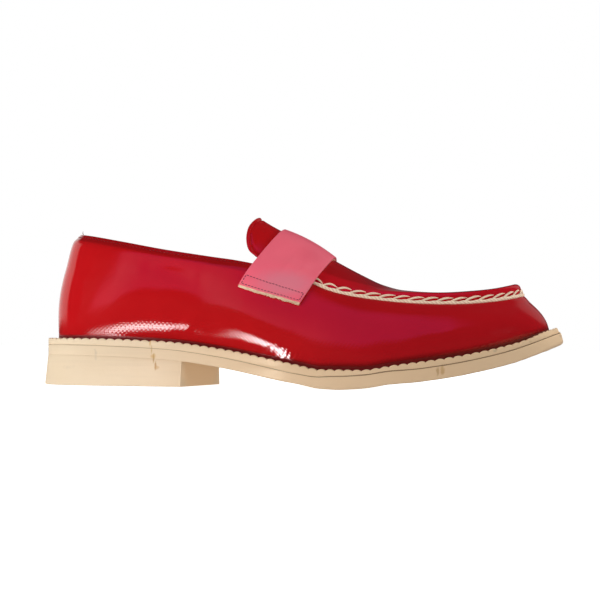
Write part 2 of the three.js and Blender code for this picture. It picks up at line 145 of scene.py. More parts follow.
def outwardAt(loop, t):  # level, and square to the loop
    along = loop(np.asarray(t) + loopStep) - loop(np.asarray(t) - loopStep)
    return unit(np.stack([along[..., 1], -along[..., 0], np.zeros_like(along[..., 0])], -1))


def smoothStep(value, low, high):
    u = np.clip((value - low) / (high - low), 0, 1)
    return u * u * (3 - 2 * u)


def hump(value, rise, crest, fall, end):  # up from rise to crest, and down again from fall to end
    return smoothStep(value, rise, crest) * (1 - smoothStep(value, fall, end))


def dip(value, at, width):  # a soft groove, 1 deep in its middle
    return np.exp(-((value - at) / width) ** 2)


def startAt(low, share):  # goes from low to 1 as the share goes from 0 to 1
    return low + (1 - low) * share


def bend(a, b, c, v):  # from a to c, drawn towards b
    return (1 - v) ** 2 * a + 2 * v * (1 - v) * b + v * v * c


def lengthAt(along):
    return (along / 100 - 0.5) * shoe["length"]


def ringOf(alongColumn, outerColumn, innerColumn, heights):
    x = lengthAt(sections[:, alongColumn])
    outer = np.stack([x, -sections[:, outerColumn] * shoe["halfBall"] / 100, heights], -1)
    inner = np.stack([x, sections[:, innerColumn] * shoe["halfBall"] / 100, heights], -1)
    return sideLoop(outer, inner)


soleLoop = ringOf(0, 1, 2, np.zeros(len(sections)))
topLoop = ringOf(4, 5, 6, sections[:, 7] * shoe["backHeight"] / 100)
trimLoop = sideLoop(sections[:, [3, 8, 9]], sections[:, [3, 8, 9]])
profileX = lengthAt(soleProfile[:, 0])
soleBottom = smoothColumn(profileX, soleProfile[:, 1])
weltRise = smoothColumn(profileX, soleProfile[:, 2])
ridgeSide = smoothColumn(ridge[:, 0], ridge[:, 1])
ridgeHeight = smoothColumn(ridge[:, 0], ridge[:, 2])


def soleTop(x):
    return soleBottom(x) + shoe["outsole"]


def weltTop(x):
    return soleTop(x) + shoe["gap"] + weltRise(x)


def soleOffset(t, distance):
    distance = np.broadcast_to(distance, np.shape(t))[..., None]
    return soleLoop(t) + outwardAt(soleLoop, t) * distance


def gridNormals(grid):  # rows run round the shoe, columns up it
    around = np.gradient(grid, axis=0)
    if np.allclose(grid[0], grid[-1], atol=1e-6):
        around[0] = around[-1] = grid[1] - grid[-2]
    return unit(np.cross(around, np.gradient(grid, axis=1)))


def arcLengths(points, axis):
    steps = np.linalg.norm(np.diff(points, axis=axis), axis=-1)
    return np.concatenate([np.zeros_like(np.take(steps, [0], axis)), np.cumsum(steps, axis)], axis)


def pointsAt(line, run, at):  # points of a line at distances along it
    return np.stack([np.interp(at, run, line[:, c]) for c in range(line.shape[1])], -1)


def gridFaces(rows, columns):
    a = np.arange(rows - 1)[:, None] * columns + np.arange(columns - 1)[None, :]
    return np.stack([a, a + columns, a + columns + 1, a + 1], -1).reshape(-1, 4)


def ringUv(rings):
    return np.stack([arcLengths(rings, 0), arcLengths(rings, 1)], -1)


def addObject(name, data):
    thing = bpy.data.objects.new(name, data)
    bpy.context.scene.collection.objects.link(thing)
    return thing


class Parcel:  # points, faces and looks gathered for one piece
    def __init__(self):
        self.points, self.uvs, self.faces, self.looks, self.count = [], [], [], [], 0

    def addGrid(self, grid, uv, looks=0):
        rows, columns = grid.shape[:2]
        self.points.append(grid.reshape(-1, 3))
        self.uvs.append(uv.reshape(-1, 2))
        self.faces += (gridFaces(rows, columns) + self.count).tolist()
        self.looks += np.broadcast_to(looks, (rows - 1, columns - 1)).reshape(-1).tolist()
        self.count += rows * columns

    def addTube(self, path, radii, normals, sides=8, flat=1.0):
        # a rope along a path; flat squeezes it along the normals
        along = unit(np.gradient(path, axis=0))
        across = unit(np.cross(along, normals))
        lift = np.cross(across, along)
        angle = np.linspace(0, 2 * math.pi, sides + 1)
        turn = (across[:, None] * np.cos(angle)[None, :, None]
                + flat * lift[:, None] * np.sin(angle)[None, :, None])
        run = arcLengths(path, 0)
        uv = np.stack(np.broadcast_arrays(run[:, None], angle[None, :] / (2 * math.pi)), -1)
        base = self.count
        self.addGrid(path[:, None] + radii[:, None, None] * turn, uv)
        for row in (0, len(path) - 1):
            ring = [base + row * (sides + 1) + k for k in range(sides)]
            self.faces.append(ring if row else ring[::-1])
            self.looks.append(0)

    def build(self, name, materials, sharp, slot, *nodes):
        mesh = bpy.data.meshes.new(name)
        points = np.concatenate(self.points) * mm
        uvs = np.concatenate(self.uvs) * mm
        mesh.from_pydata(points.tolist(), [], self.faces)
        layer = mesh.uv_layers.new(name="UVMap")
        corner = np.empty(len(mesh.loops), dtype=np.int32)
        mesh.loops.foreach_get("vertex_index", corner)
        layer.data.foreach_set("uv", uvs[corner].reshape(-1).astype(np.float32))
        mesh.polygons.foreach_set("material_index", np.array(self.looks, dtype=np.int32))
        work = bmesh.new()
        work.from_mesh(mesh)
        bmesh.ops.remove_doubles(work, verts=work.verts, dist=2e-6)
        bmesh.ops.dissolve_degenerate(work, dist=1e-7, edges=work.edges)
        bmesh.ops.recalc_face_normals(work, faces=work.faces)
        for face in work.faces:
            face.smooth = True
        work.to_mesh(mesh)
        work.free()
        if sharp:  # degrees between faces from which an edge is hard
            mesh.set_sharp_from_angle(angle=math.radians(sharp))
        for material in materials:
            mesh.materials.append(material)
        piece = addObject(name, mesh)
        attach(piece, "root")
        if nodes:
            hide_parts(*nodes)
        return piece


# Nodes

def addNode(tree, kind, values=None, **settings):
    node = tree.nodes.new(kind)
    for key, value in settings.items():
        setattr(node, key, value)
    for key, value in (values or {}).items():
        socket = node.inputs[key]
        if isinstance(value, bpy.types.NodeSocket):
            tree.links.new(value, socket)
        else:
            socket.default_value = (*value, 1) if socket.type == "RGBA" else value
    return node


def mathNode(tree, operation, a, b=0.0, c=0.0):
    return addNode(tree, "ShaderNodeMath", {0: a, 1: b, 2: c}, operation=operation).outputs[0]


def vectorNode(tree, operation, a, b=(0, 0, 0)):
    outputs = addNode(tree, "ShaderNodeVectorMath", {0: a, 1: b}, operation=operation).outputs
    return outputs["Value" if operation in ("LENGTH", "DOT_PRODUCT") else "Vector"]


def mixColour(tree, share, a, b, blend="MIX"):
    return addNode(tree, "ShaderNodeMix", {"Factor": share, 6: a, 7: b}, data_type="RGBA",
                   blend_type=blend).outputs[2]


def mixShader(tree, share, a, b):
    return addNode(tree, "ShaderNodeMixShader", {0: share, 1: a.outputs[0], 2: b.outputs[0]})


def rampNode(tree, value, low, high, toLow=0.0, toHigh=1.0, curve="SMOOTHSTEP"):
    return addNode(tree, "ShaderNodeMapRange", {0: value, 1: low, 2: high, 3: toLow, 4: toHigh},
                   interpolation_type=curve).outputs[0]


def noiseNode(tree, place, scale, detail, roughness=0.5):
    return addNode(tree, "ShaderNodeTexNoise", {
        "Vector": place, "Scale": scale, "Detail": detail, "Roughness": roughness}).outputs[0]


def shoePlace(tree):  # the place on the shoe, in metres
    return addNode(tree, "ShaderNodeTexCoord").outputs["Object"]


def splitPlace(tree, place):
    return addNode(tree, "ShaderNodeSeparateXYZ", {0: place}).outputs


def sheetPlace(tree):  # the place on a piece's own sheet, along and up it
    return splitPlace(tree, addNode(tree, "ShaderNodeUVMap").outputs[0])


def newGroup(name, inputs, outputs):  # inputs by name with their usual values
    group = bpy.data.node_groups.new(name, "ShaderNodeTree")
    for key, value in inputs.items():
        kind = "NodeSocketVector" if isinstance(value, tuple) else "NodeSocketFloat"
        group.interface.new_socket(name=key, in_out="INPUT", socket_type=kind).default_value = value
    for key in outputs:
        group.interface.new_socket(name=key, in_out="OUTPUT", socket_type="NodeSocketFloat")
    return group, group.nodes.new("NodeGroupInput").outputs, group.nodes.new("NodeGroupOutput").inputs


def useGroup(tree, group, **values):
    return addNode(tree, "ShaderNodeGroup", values, node_tree=group).outputs


def makeCrossedGrain():  # two sets of fine slanted threads under a coating, in metres of the sheet
    tree, given, put = newGroup("crossedGrain", {"Pitch": 0.0008, "Evenness": 0.5}, ["Height"])
    run, rise = sheetPlace(tree)[:2]
    waves = []
    for way in ("ADD", "SUBTRACT"):
        slant = mathNode(tree, "DIVIDE", mathNode(tree, way, run, rise), given["Pitch"])
        waves.append(mathNode(tree, "SINE", mathNode(tree, "MULTIPLY", slant, 2 * math.pi)))
    cloud = noiseNode(tree, shoePlace(tree), 160.0, 2.0)
    strength = mathNode(tree, "ADD", cloud, given["Evenness"])
    tree.links.new(mathNode(tree, "MULTIPLY", mathNode(tree, "ADD", *waves), strength), put["Height"])
    return tree


def makeCloudMask():  # soft uneven patches, such as dust, wear or a change of tone
    tree, given, put = newGroup("cloudMask", {
        "Scale": 40.0, "Stretch": (1, 1, 1), "Low": 0.4, "High": 0.7}, ["Mask", "Height"])
    place = vectorNode(tree, "MULTIPLY", shoePlace(tree), given["Stretch"])
    cloud = noiseNode(tree, place, given["Scale"], 5.0, 0.6)
    tree.links.new(rampNode(tree, cloud, given["Low"], given["High"], curve="LINEAR"), put["Mask"])
    tree.links.new(cloud, put["Height"])
    return tree


def makePlacedMark():  # one blot at a place on the shoe, with a ragged edge, in metres
    tree, given, put = newGroup("placedMark", {
        "Place": (0, 0, 0), "Half": (0.01, 0.01, 0.01), "Ragged": 0.3, "Soft": 0.4}, ["Mask"])
    here = shoePlace(tree)
    away = vectorNode(tree, "SUBTRACT", here, given["Place"])
    distance = vectorNode(tree, "LENGTH", vectorNode(tree, "DIVIDE", away, given["Half"]))
    cloud = noiseNode(tree, here, 420.0, 3.0)
    shift = mathNode(tree, "MULTIPLY", mathNode(tree, "SUBTRACT", cloud, 0.5), given["Ragged"])
    ragged = mathNode(tree, "MULTIPLY_ADD", shift, 2.0, distance)
    inner = mathNode(tree, "SUBTRACT", 1.0, given["Soft"])
    tree.links.new(rampNode(tree, ragged, inner, 1.0, 1.0, 0.0), put["Mask"])
    return tree


def makeThreadTwist():  # plies of a thread, from the run and turn of its own tube
    tree, given, put = newGroup("threadTwist", {"Lay": 0.0016, "Plies": 3.0}, ["Height"])
    run, turn = sheetPlace(tree)[:2]
    run = mathNode(tree, "DIVIDE", run, given["Lay"])
    turn = mathNode(tree, "MULTIPLY", turn, mathNode(tree, "MULTIPLY", given["Plies"], 1 / mm))
    wave = mathNode(tree, "MULTIPLY", mathNode(tree, "ADD", run, turn), 2 * math.pi)
    tree.links.new(mathNode(tree, "SINE", wave), put["Height"])
    return tree


crossedGrain = makeCrossedGrain()
cloudMask = makeCloudMask()
placedMark = makePlacedMark()
threadTwist = makeThreadTwist()


def newMaterial(name, colour, roughness, **sockets):
    material = bpy.data.materials.new(name)
    material.use_nodes = True
    tree = material.node_tree
    shader = tree.nodes["Principled BSDF"]
    for key, value in (("Base Color", colour), ("Roughness", roughness), *sockets.items()):
        shader.inputs[key.replace("_", " ")].default_value = (*value, 1) if key == "Base Color" else value
    return material, tree, shader


def patchMask(tree, scale, low, high):
    return useGroup(tree, cloudMask, Scale=scale, Low=low, High=high)["Mask"]


def cloudHeight(tree, scale):
    return useGroup(tree, cloudMask, Scale=scale)["Height"]


def addBump(tree, shader, height, distance, strength=1.0):
    bump = addNode(tree, "ShaderNodeBump", {"Height": height, "Distance": distance, "Strength": strength})
    tree.links.new(bump.outputs[0], shader.inputs["Normal"])


def tintMarks(tree, colour, marks):  # marks: place and half size in mm, ragged, soft, share, colour
    for place, half, ragged, soft, share, tint in marks:
        place, half = (tuple(v * mm for v in size) for size in (place, half))
        mask = useGroup(tree, placedMark, Place=place, Half=half, Ragged=ragged, Soft=soft)["Mask"]
        colour = mixColour(tree, mathNode(tree, "MULTIPLY", mask, share), colour, tint)
    return colour


def toneBy(tree, share, colour, tone):  # multiplies the colour by a tone, as far as the share goes
    return mixColour(tree, share, colour, mixColour(tree, 1.0, colour, tone, "MULTIPLY"))


def shadeTowardsToe(tree, colour, look):  # painted shade: the tone deepens from the waist to the toe
    share = rampNode(tree, splitPlace(tree, shoePlace(tree))[0], *look["frontShadeReach"])
    return toneBy(tree, share, colour, look["front"])


# lengths in metres; a reach is where a change starts and where it is full; patches have scale, low and high
redLook = {
    "colour": (0.53, 0.0065, 0.009), "deep": (0.46, 0.005, 0.007), "patches": (14.0, 0.35, 0.7), "ior": 1.5,
    "roughness": 0.055, "uneven": 0.02, "dullPatches": (9.0, 0.3, 0.8),
    "grainPitch": 0.00235, "grainDepth": 0.0000073, "grainHigh": 0.3, "grainReach": (0.013, 0.02),
    "ripple": 0.000004, "rippleScale": 120.0,
    # painted shade: foot is the dark colour laid over the wall's foot above the welt and in a band under the
    # collar's edge
    "foot": (0.13, 0.002, 0.002), "footBack": 0.0018, "footShadeFront": 0.0045, "footShadeReach": (-0.03, 0.04),
    "footRough": 0.5, "collarSlant": 0.183, "collarShadeBand": (0.059, 0.061), "collarShadeShare": 0.45,
    # painted light and shade: the rim tone lightens the apron's rim, the instep tone darkens the instep
    # before the strap
    "collarReach": (-0.018, -0.03), "rim": (1.22, 1.1, 1.5), "instep": (0.85, 0.9, 0.9),
    "instepStart": (0, 0.01), "instepEnd": (0.058, 0.04), "instepSide": (0.0225, 0.0195),
    # painted shade: front makes the red darker and bluer towards the toe
    "front": (0.83, 0.95, 1.15), "frontShadeReach": (-0.03, 0.05),
}


def makeRedGloss(name, onWall):
    look = redLook
    material, tree, shader = newMaterial(name, look["colour"], look["roughness"], IOR=look["ior"])
    colour = mixColour(tree, patchMask(tree, *look["patches"]), look["deep"], look["colour"])
    colour = shadeTowardsToe(tree, colour, look)
    dull = patchMask(tree, *look["dullPatches"])
    rough = mathNode(tree, "MULTIPLY_ADD", dull, look["uneven"], look["roughness"])
    x, y, z = splitPlace(tree, shoePlace(tree))
    if onWall:  # painted shade at its foot above the welt, and in a band under the collar's edge, which falls towards the front
        height = sheetPlace(tree)[1]  # over the welt
        reach = rampNode(tree, x, *look["footShadeReach"], look["footBack"], look["footShadeFront"])
        foot = rampNode(tree, mathNode(tree, "DIVIDE", height, reach), 1, 0)
        colour = mixColour(tree, foot, colour, look["foot"])
        level = mathNode(tree, "MULTIPLY_ADD", x, look["collarSlant"], z)
        band = rampNode(tree, level, *look["collarShadeBand"], 0, look["collarShadeShare"])
        band = mathNode(tree, "MULTIPLY", band, rampNode(tree, x, *look["collarReach"]))
        colour = mixColour(tree, band, colour, look["foot"])
        footDull = rampNode(tree, height, look["footBack"], 0)
        rough = mathNode(tree, "MULTIPLY_ADD", footDull, look["footRough"], rough)
        grainShare = rampNode(tree, height, *look["grainReach"], 1.0, look["grainHigh"])
    else:  # painted light and shade: before the strap the apron's rim is lighter and the instep between its sides darker
        ahead = rampNode(tree, x, *look["instepStart"])
        middle = rampNode(tree, mathNode(tree, "ABSOLUTE", y), *look["instepSide"])
        dark = mathNode(tree, "MULTIPLY", ahead, middle)
        dark = mathNode(tree, "MULTIPLY", dark, rampNode(tree, x, *look["instepEnd"]))
        colour = toneBy(tree, mathNode(tree, "SUBTRACT", ahead, dark), colour, look["rim"])
        colour = toneBy(tree, dark, colour, look["instep"])
        grainShare = look["grainHigh"]
    tree.links.new(colour, shader.inputs["Base Color"])
    tree.links.new(rough, shader.inputs["Roughness"])
    grain = useGroup(tree, crossedGrain, Pitch=look["grainPitch"])["Height"]
    grain = mathNode(tree, "MULTIPLY", grain, grainShare)
    ripple = cloudHeight(tree, look["rippleScale"])
    height = mathNode(tree, "MULTIPLY_ADD", ripple, look["ripple"] / look["grainDepth"], grain)
    addBump(tree, shader, height, look["grainDepth"])
    return material


# two tones in patches; the grain has scale, depth in metres and strength
leatherLooks = {
    # a darker colour along the crest of the collar's turned edge
    "darkEdge": {
        "tones": [(0.2, 0.01, 0.018), (0.09, 0.004, 0.009)], "patches": (260.0, 0.4, 0.7),
        "roughness": 0.4, "grain": (260.0, 0.0001, 0.5)},
    "lining": {
        "tones": [(0.62, 0.43, 0.25), (0.42, 0.26, 0.13)], "patches": (30.0, 0.35, 0.75),
        "roughness": 0.6, "grain": (700.0, 0.0002, 0.5)},
    "pinkLeather": {
        "tones": [(0.92, 0.155, 0.215), (0.87, 0.135, 0.195)], "patches": (35.0, 0.3, 0.75),
        "roughness": 0.34, "grain": (900.0, 0.00012, 0.6),
        "coat": {"Coat_Weight": 0.1, "Coat_Roughness": 0.2},
        "marks": [  # painted sheen makes the lower half paler, painted shade makes it deeper towards the ridge
            ((-2, -38, 58), (24, 16, 12), 0.1, 0.8, 0.6, (0.66, 0.25, 0.295)),
            ((9, -16, 74), (13, 13, 10), 0.15, 0.9, 0.45, (0.74, 0.09, 0.145)),
            ((-14, -14, 80), (12, 14, 9), 0.2, 0.95, 0.2, (0.78, 0.1, 0.16))]},
    "rawEdge": {
        "tones": [(0.86, 0.66, 0.45), (0.66, 0.45, 0.28)], "patches": (300.0, 0.35, 0.7),
        "roughness": 0.8, "grain": (300.0, 0.0004, 0.8)},
    "insoleLeather": {
        "tones": [(0.6, 0.41, 0.23), (0.4, 0.24, 0.12)], "patches": (22.0, 0.35, 0.7),
        "roughness": 0.55, "grain": (650.0, 0.0002, 0.6)},
    "jointShade": {  # painted shade in the joint between outsole and welt, deeper towards the toe
        "tones": [(0.5, 0.39, 0.26), (0.4, 0.3, 0.19)], "patches": (120.0, 0.4, 0.7),
        "roughness": 0.7, "front": (0.6, 0.52, 0.45), "frontShadeReach": (-0.03, 0.06)},
}


def makeLeather(name):
    look = leatherLooks[name]
    material, tree, shader = newMaterial(name, look["tones"][0], look["roughness"], **look.get("coat", {}))
    colour = mixColour(tree, patchMask(tree, *look["patches"]), *look["tones"])
    colour = tintMarks(tree, colour, look.get("marks", []))
    if "front" in look:
        colour = shadeTowardsToe(tree, colour, look)
    tree.links.new(colour, shader.inputs["Base Color"])
    if "grain" in look:
        scale, depth, strength = look["grain"]
        addBump(tree, shader, cloudHeight(tree, scale), depth, strength)
    return material


# the streaks lie along the shoe: stretch along and across it, and for each piece up it
creamLook = {
    "colour": (0.78, 0.635, 0.45), "warm": (0.74, 0.585, 0.39), "warmShare": 0.5,
    "patches": (18.0, 0.35, 0.72), "grey": (0.6, 0.48, 0.34), "greyShare": 0.3,
    "streaks": (30.0, 0.55, 0.8), "streakStretch": (0.35, 0.35),
    "roughness": 0.5, "wornRoughness": 0.65, "fineScale": 500.0, "depth": 0.00015, "strength": 0.6,
    # painted shade: front makes the cream deeper and warmer towards the toe
    "front": (1.0, 0.885, 0.78), "frontShadeReach": (-0.14, 0.0),
}


def makeCream(name, marks, streak):
    look = creamLook
    material, tree, shader = newMaterial(name, look["colour"], look["roughness"])
    tone = patchMask(tree, *look["patches"])
    warm = mathNode(tree, "MULTIPLY", tone, look["warmShare"])
    scale, low, high = look["streaks"]
    stretch = (*look["streakStretch"], streak)
    lines = useGroup(tree, cloudMask, Scale=scale, Stretch=stretch, Low=low, High=high)
    grey = mathNode(tree, "MULTIPLY", lines["Mask"], look["greyShare"])
    colour = mixColour(tree, grey, mixColour(tree, warm, look["colour"], look["warm"]), look["grey"])
    colour = tintMarks(tree, shadeTowardsToe(tree, colour, look), marks)
    tree.links.new(colour, shader.inputs["Base Color"])
    rough = rampNode(tree, tone, 0, 1, look["roughness"], look["wornRoughness"], "LINEAR")
    tree.links.new(rough, shader.inputs["Roughness"])
    height = mathNode(tree, "ADD", cloudHeight(tree, look["fineScale"]), lines["Height"])
    addBump(tree, shader, height, look["depth"], look["strength"])
    return material


# colour, its painted shade between the plies, and the length of one turn of the plies in metres
threadColours = {
    "creamThread": ((0.95, 0.76, 0.56), (0.8, 0.58, 0.42), 0.0022),
    "darkThread": ((0.22, 0.04, 0.06), (0.1, 0.016, 0.026), 0.0009),
    "redThread": ((0.3, 0.012, 0.016), (0.12, 0.004, 0.006), 0.0008),
}
threadLook = {
    "roughness": 0.65, "shadeReach": (-1.0, 0.6), "fuzzScale": 1500.0, "depth": 0.00005, "strength": 0.8,
}


def makeThread(name):
    colour, dark, lay = threadColours[name]
    material, tree, shader = newMaterial(name, colour, threadLook["roughness"])
    twist = useGroup(tree, threadTwist, Lay=lay)["Height"]
    shade = rampNode(tree, twist, *threadLook["shadeReach"])
    tree.links.new(mixColour(tree, shade, dark, colour), shader.inputs["Base Color"])
    height = mathNode(tree, "ADD", twist, cloudHeight(tree, threadLook["fuzzScale"]))
    addBump(tree, shader, height, threadLook["depth"], threadLook["strength"])
    return material


# marks as in tintMarks: a dried drip at the heel, scuffs, and spots to the front
soleMarks = [
    ((-80, -37, 27.8), (3, 9, 1.8), 0.7, 0.8, 0.45, (0.66, 0.42, 0.14)),
    ((-79.2, -37, 25), (0.75, 9, 4), 0.4, 0.7, 0.75, (0.6, 0.35, 0.1)),
    ((-78.2, -37, 20.5), (0.65, 9, 4), 0.4, 0.7, 0.7, (0.55, 0.33, 0.1)),
    ((-77.3, -37, 17.2), (2.3, 9, 1.7), 0.8, 0.8, 0.55, (0.62, 0.36, 0.1)),
    ((-77, -37, 15.6), (0.7, 9, 4), 0.4, 0.7, 0.75, (0.5, 0.28, 0.08)),
    ((-75.8, -37, 11.6), (0.8, 9, 3.4), 0.4, 0.7, 0.8, (0.48, 0.25, 0.07)),
    ((-75, -37, 10.6), (1.9, 9, 1.6), 0.8, 0.8, 0.5, (0.56, 0.3, 0.09)),
    ((-110.6, -34, 18), (1.2, 10, 6), 0.9, 0.9, 0.3, (0.4, 0.34, 0.26)),
    ((-126, -28, 10), (6, 10, 2), 0.9, 0.9, 0.2, (0.5, 0.4, 0.28)),
    ((82.2, -47, 10.6), (1.2, 10, 3.2), 0.6, 0.6, 0.55, (0.42, 0.22, 0.07)),
    ((84.6, -47, 11.2), (1.6, 10, 3.4), 0.6, 0.7, 0.6, (0.5, 0.27, 0.08)),
    ((112, -37, 22), (1.3, 8, 1), 0.6, 0.7, 0.4, (0.36, 0.32, 0.2)),
    ((131, -26, 27), (1.4, 8, 1), 0.6, 0.7, 0.35, (0.5, 0.33, 0.16)),
    ((148, 0, 31), (1.6, 6, 1.6), 0.7, 0.7, 0.6, (0.3, 0.2, 0.12)),
]
paintedBreastLight = ((-57.5, 0, 9), (4.6, 80, 16), 0.05, 0.35, 0.9, (0.93, 0.66, 0.39))  # painted light: lightens and warms the heel's shaded front

looks = {name: makeLeather(name) for name in leatherLooks}
looks.update({name: makeThread(name) for name in threadColours})
looks["redWall"] = makeRedGloss("redWall", True)
looks["redApron"] = makeRedGloss("redApron", False)
looks["creamHeel"] = makeCream("creamHeel", soleMarks + [paintedBreastLight], 8.0)
looks["creamOutsole"] = makeCream("creamOutsole", soleMarks, 5.0)
looks["creamWelt"] = makeCream("creamWelt", soleMarks, 3.0)
print("materials ready")


# Sole pieces: each row is a ring across the shoe, underneath, up the inner side, over the top and down again.

# sizes in mm; a reach is where along the shoe something starts and where it is full
soleShape = {
    "rows": 260, "across": 14, "sharp": 40, "bottomBevel": 0.8, "topBevel": 0.4, "heelBevel": 0.08,
    "bevelReach": (-64, -52), "wear": 0.35, "wearReach": (40, 70), "wearHeights": (0.2, 1.5),
    "toeFacing": (0.55, 0.95), "toeRound": 3.4, "toeSlant": 3.2, "toeInsets": (2.4, 1.5, 1.0, 0.5, 0.1),
    "ballLift": 1.1, "ballAhead": (26, 48, 50, 74), "ballBehind": (-10, 12, 13, 32), "behindShare": 0.55,
    "lip": 1.5, "lipReach": (0, 30), "ballLip": 0.9, "ballLipReach": (20, 40), "lineSteps": (7, 9),
}


def pairedStations(rows, reachOuter=0.5, reachInner=0.5):  # places from the back down both sides
    if reachOuter == 0.5:  # all the way, closer together at both ends
        share = (1 - np.cos(np.linspace(0, math.pi, rows))) / 2
    else:
        share = np.linspace(0, 1, rows) ** 1.3
    return reachOuter * share, 1 - reachInner * share


def slabRings(outerT, innerT, sideSteps, heightAt, across):
    # sideSteps: offset from the sole's edge and level, from the bottom up
    sides = []
    for t in (outerT, innerT):
        line = []
        for offset, level in sideSteps:
            point = soleOffset(t, offset if np.isscalar(offset) else offset(t))
            point[:, 2] = heightAt(point, level)
            line.append(point)
        sides.append(np.stack(line, 1))
    outer, inner = sides
    share = np.linspace(0, 1, across + 1)[1:-1][None, :, None]
    under = outer[:, :1] * (1 - share) + inner[:, :1] * share
    over = inner[:, -1:] * (1 - share) + outer[:, -1:] * share
    for grid, level in ((under, sideSteps[0][1]), (over, sideSteps[-1][1])):
        grid[..., 2] = heightAt(grid.reshape(-1, 3), level).reshape(grid.shape[:2])
    return np.concatenate([outer[:, :1], under, inner, over, outer[:, ::-1]], 1)


def toeFront(t):  # 1 where the sole's edge faces ahead
    return smoothStep(outwardAt(soleLoop, t)[..., 0], *soleShape["toeFacing"])


def toeDrop(t, inset):  # how far the top of the sole's edge falls away where it turns round the toe
    away = np.clip(1 - inset / soleShape["toeRound"], 0, 1)
    return toeFront(t) * soleShape["toeRound"] * (1 - np.sqrt(1 - away ** 2))


def toeLean(t, share):  # how far the edge leans back at the toe, by the share of the way up
    return soleShape["toeSlant"] * toeFront(t) * share


def ballLift(x):  # the tread is a little rounder than flat before and behind the ball
    behind = soleShape["behindShare"] * hump(x, *soleShape["ballBehind"])
    return soleShape["ballLift"] * (hump(x, *soleShape["ballAhead"]) + behind)


def lipRise(x):  # over the forefoot the outsole's edge stands higher under the welt
    onBall = soleShape["ballLip"] * ballLift(x) * smoothStep(x, *soleShape["ballLipReach"])
    return soleShape["lip"] * smoothStep(x, *soleShape["lipReach"]) + onBall


def makeOutsole():
    shape = soleShape
    bevel, edge, tall = shape["bottomBevel"], shape["topBevel"], shoe["outsole"]

    def bevelAt(share, toe):  # next to none where the heel sits under it, more at the toe
        def offset(t):
            reach = startAt(shape["heelBevel"], smoothStep(soleLoop(t)[:, 0], *shape["bevelReach"]))
            return -bevel * share * reach - toe * toeFront(t)
        return offset

    def edgeAt(inset, lean, toe=0):
        return lambda t: -inset - toe * toeFront(t) - toeLean(t, lean)

    def under(share):  # below the welt, by the share of its width
        return lambda t: -share * trimLoop(t)[..., 0]

    atToe = shape["toeInsets"]
    steps = [
        (bevelAt(1, atToe[0]), 0.0), (bevelAt(0.45, atToe[1]), 0.2 * bevel / tall),
        (bevelAt(0.12, atToe[2]), 0.5 * bevel / tall), (edgeAt(0, 0.06, atToe[3]), bevel / tall),
        (edgeAt(0, 0.15, atToe[4]), 0.25), (edgeAt(0, 0.3), 0.5), (edgeAt(0, 0.45), 0.75),
        (edgeAt(0, 0.57), 1 - edge / tall), (edgeAt(0.3 * edge, 0.59), 1 - 0.1 * edge),
        (edgeAt(edge, 0.6), 1.0), (under(0.65), 1.0), (under(0.72), 1.5),
    ]

    def heightAt(point, level):  # a level past 1 is the top without its lip
        x, y = point[:, 0], point[:, 1]
        low = soleBottom(x)
        wear = 0.5 + 0.5 * np.sin(x * 0.55) * np.sin(x * 0.23 + 1) * np.cos(y * 0.3)
        wear = wear * smoothStep(x, *shape["wearReach"]) * shape["wear"]
        wear = wear * smoothStep(low, *shape["wearHeights"])
        share = min(level, 1)
        rise = tall + (lipRise(x) if level <= 1 else 0)
        return low + share * rise + wear * (1 - share) ** 3 + ballLift(x) * (1 - share)

    rings = slabRings(*pairedStations(shape["rows"]), steps, heightAt, shape["across"])
    # the painted shade of the joint runs between two steps of the edge, on both sides
    line = np.zeros(rings.shape[1] - 1, int)
    first, last = shape["lineSteps"]
    innerFirst, outerLast = shape["across"], 2 * (shape["across"] + len(steps) - 1)
    line[innerFirst + first:innerFirst + last] = 1
    line[outerLast - last:outerLast - first] = 1
    parcel = Parcel()
    parcel.addGrid(rings, ringUv(rings), line[None, :])
    materials = [looks["creamOutsole"], looks["jointShade"]]
    parcel.build("outsole_slab", materials, shape["sharp"], "cream_sole", "outsole")


def breastStation(x, outer):
    low, high = 0.0, 0.5
    for _ in range(40):
        middle = (low + high) / 2
        if soleLoop(np.array([middle if outer else 1 - middle]))[0, 0] < x:
            low = middle
        else:
            high = middle
    return low


heelShape = {"rows": 60, "across": 10, "sharp": 35, "bevel": 0.7, "levels": (0.06, 0.985, 9), "seat": 0.02}


def makeHeel():
    shape = heelShape
    reach = breastStation(shoe["breastOuter"], True), breastStation(shoe["breastInner"], False)
    flare, bevel, across = shoe["heelFlare"], shape["bevel"], shape["across"]
    steps = [(flare - bevel, 0.0), (flare - 0.25 * bevel, 0.012)]
    steps += [(flare * (1 - v), v) for v in np.linspace(*shape["levels"])]
    steps += [(-0.05, 0.996), (-0.16, 1.0)]

    def heightAt(point, level):
        return level * (soleBottom(point[:, 0]) - shape["seat"])

    rings = slabRings(*pairedStations(shape["rows"], *reach), steps, heightAt, across)
    parcel = Parcel()
    parcel.addGrid(rings, ringUv(rings))
    # the breast closes the front between the two sides
    last, count = rings[-1], len(steps)
    inner = last[across:across + count]
    outer = last[::-1][:count]
    share = np.linspace(0, 1, across + 1)[None, :, None]
    breast = outer[:, None] * (1 - share) + inner[:, None] * share
    breast[0] = last[:across + 1]
    breast[-1] = last[across + count - 1:2 * across + count][::-1]
    parcel.addGrid(breast, breast[..., [1, 2]])
    parcel.build("heel_block", [looks["creamHeel"]], shape["sharp"], "cream_sole", "heel")


insoleShape = {"rows": 260, "across": 24, "sharp": 40, "bevel": 0.5, "bevelLevel": 0.8}


def makeInsole():
    def inset(t):
        return -(trimLoop(t)[..., 0] + shoe["wall"] + shoe["gap"])

    def heightAt(point, level):
        return soleTop(point[:, 0]) + shoe["gap"] + level * shoe["insole"]

    shape = insoleShape
    steps = [(inset, 0.0), (inset, shape["bevelLevel"]), (lambda t: inset(t) - shape["bevel"], 1.0)]
    rings = slabRings(*pairedStations(shape["rows"]), steps, heightAt, shape["across"])
    parcel = Parcel()
    parcel.addGrid(rings, ringUv(rings))
    parcel.build("insole_board", [looks["insoleLeather"]], shape["sharp"], "tan_insole", "insole")


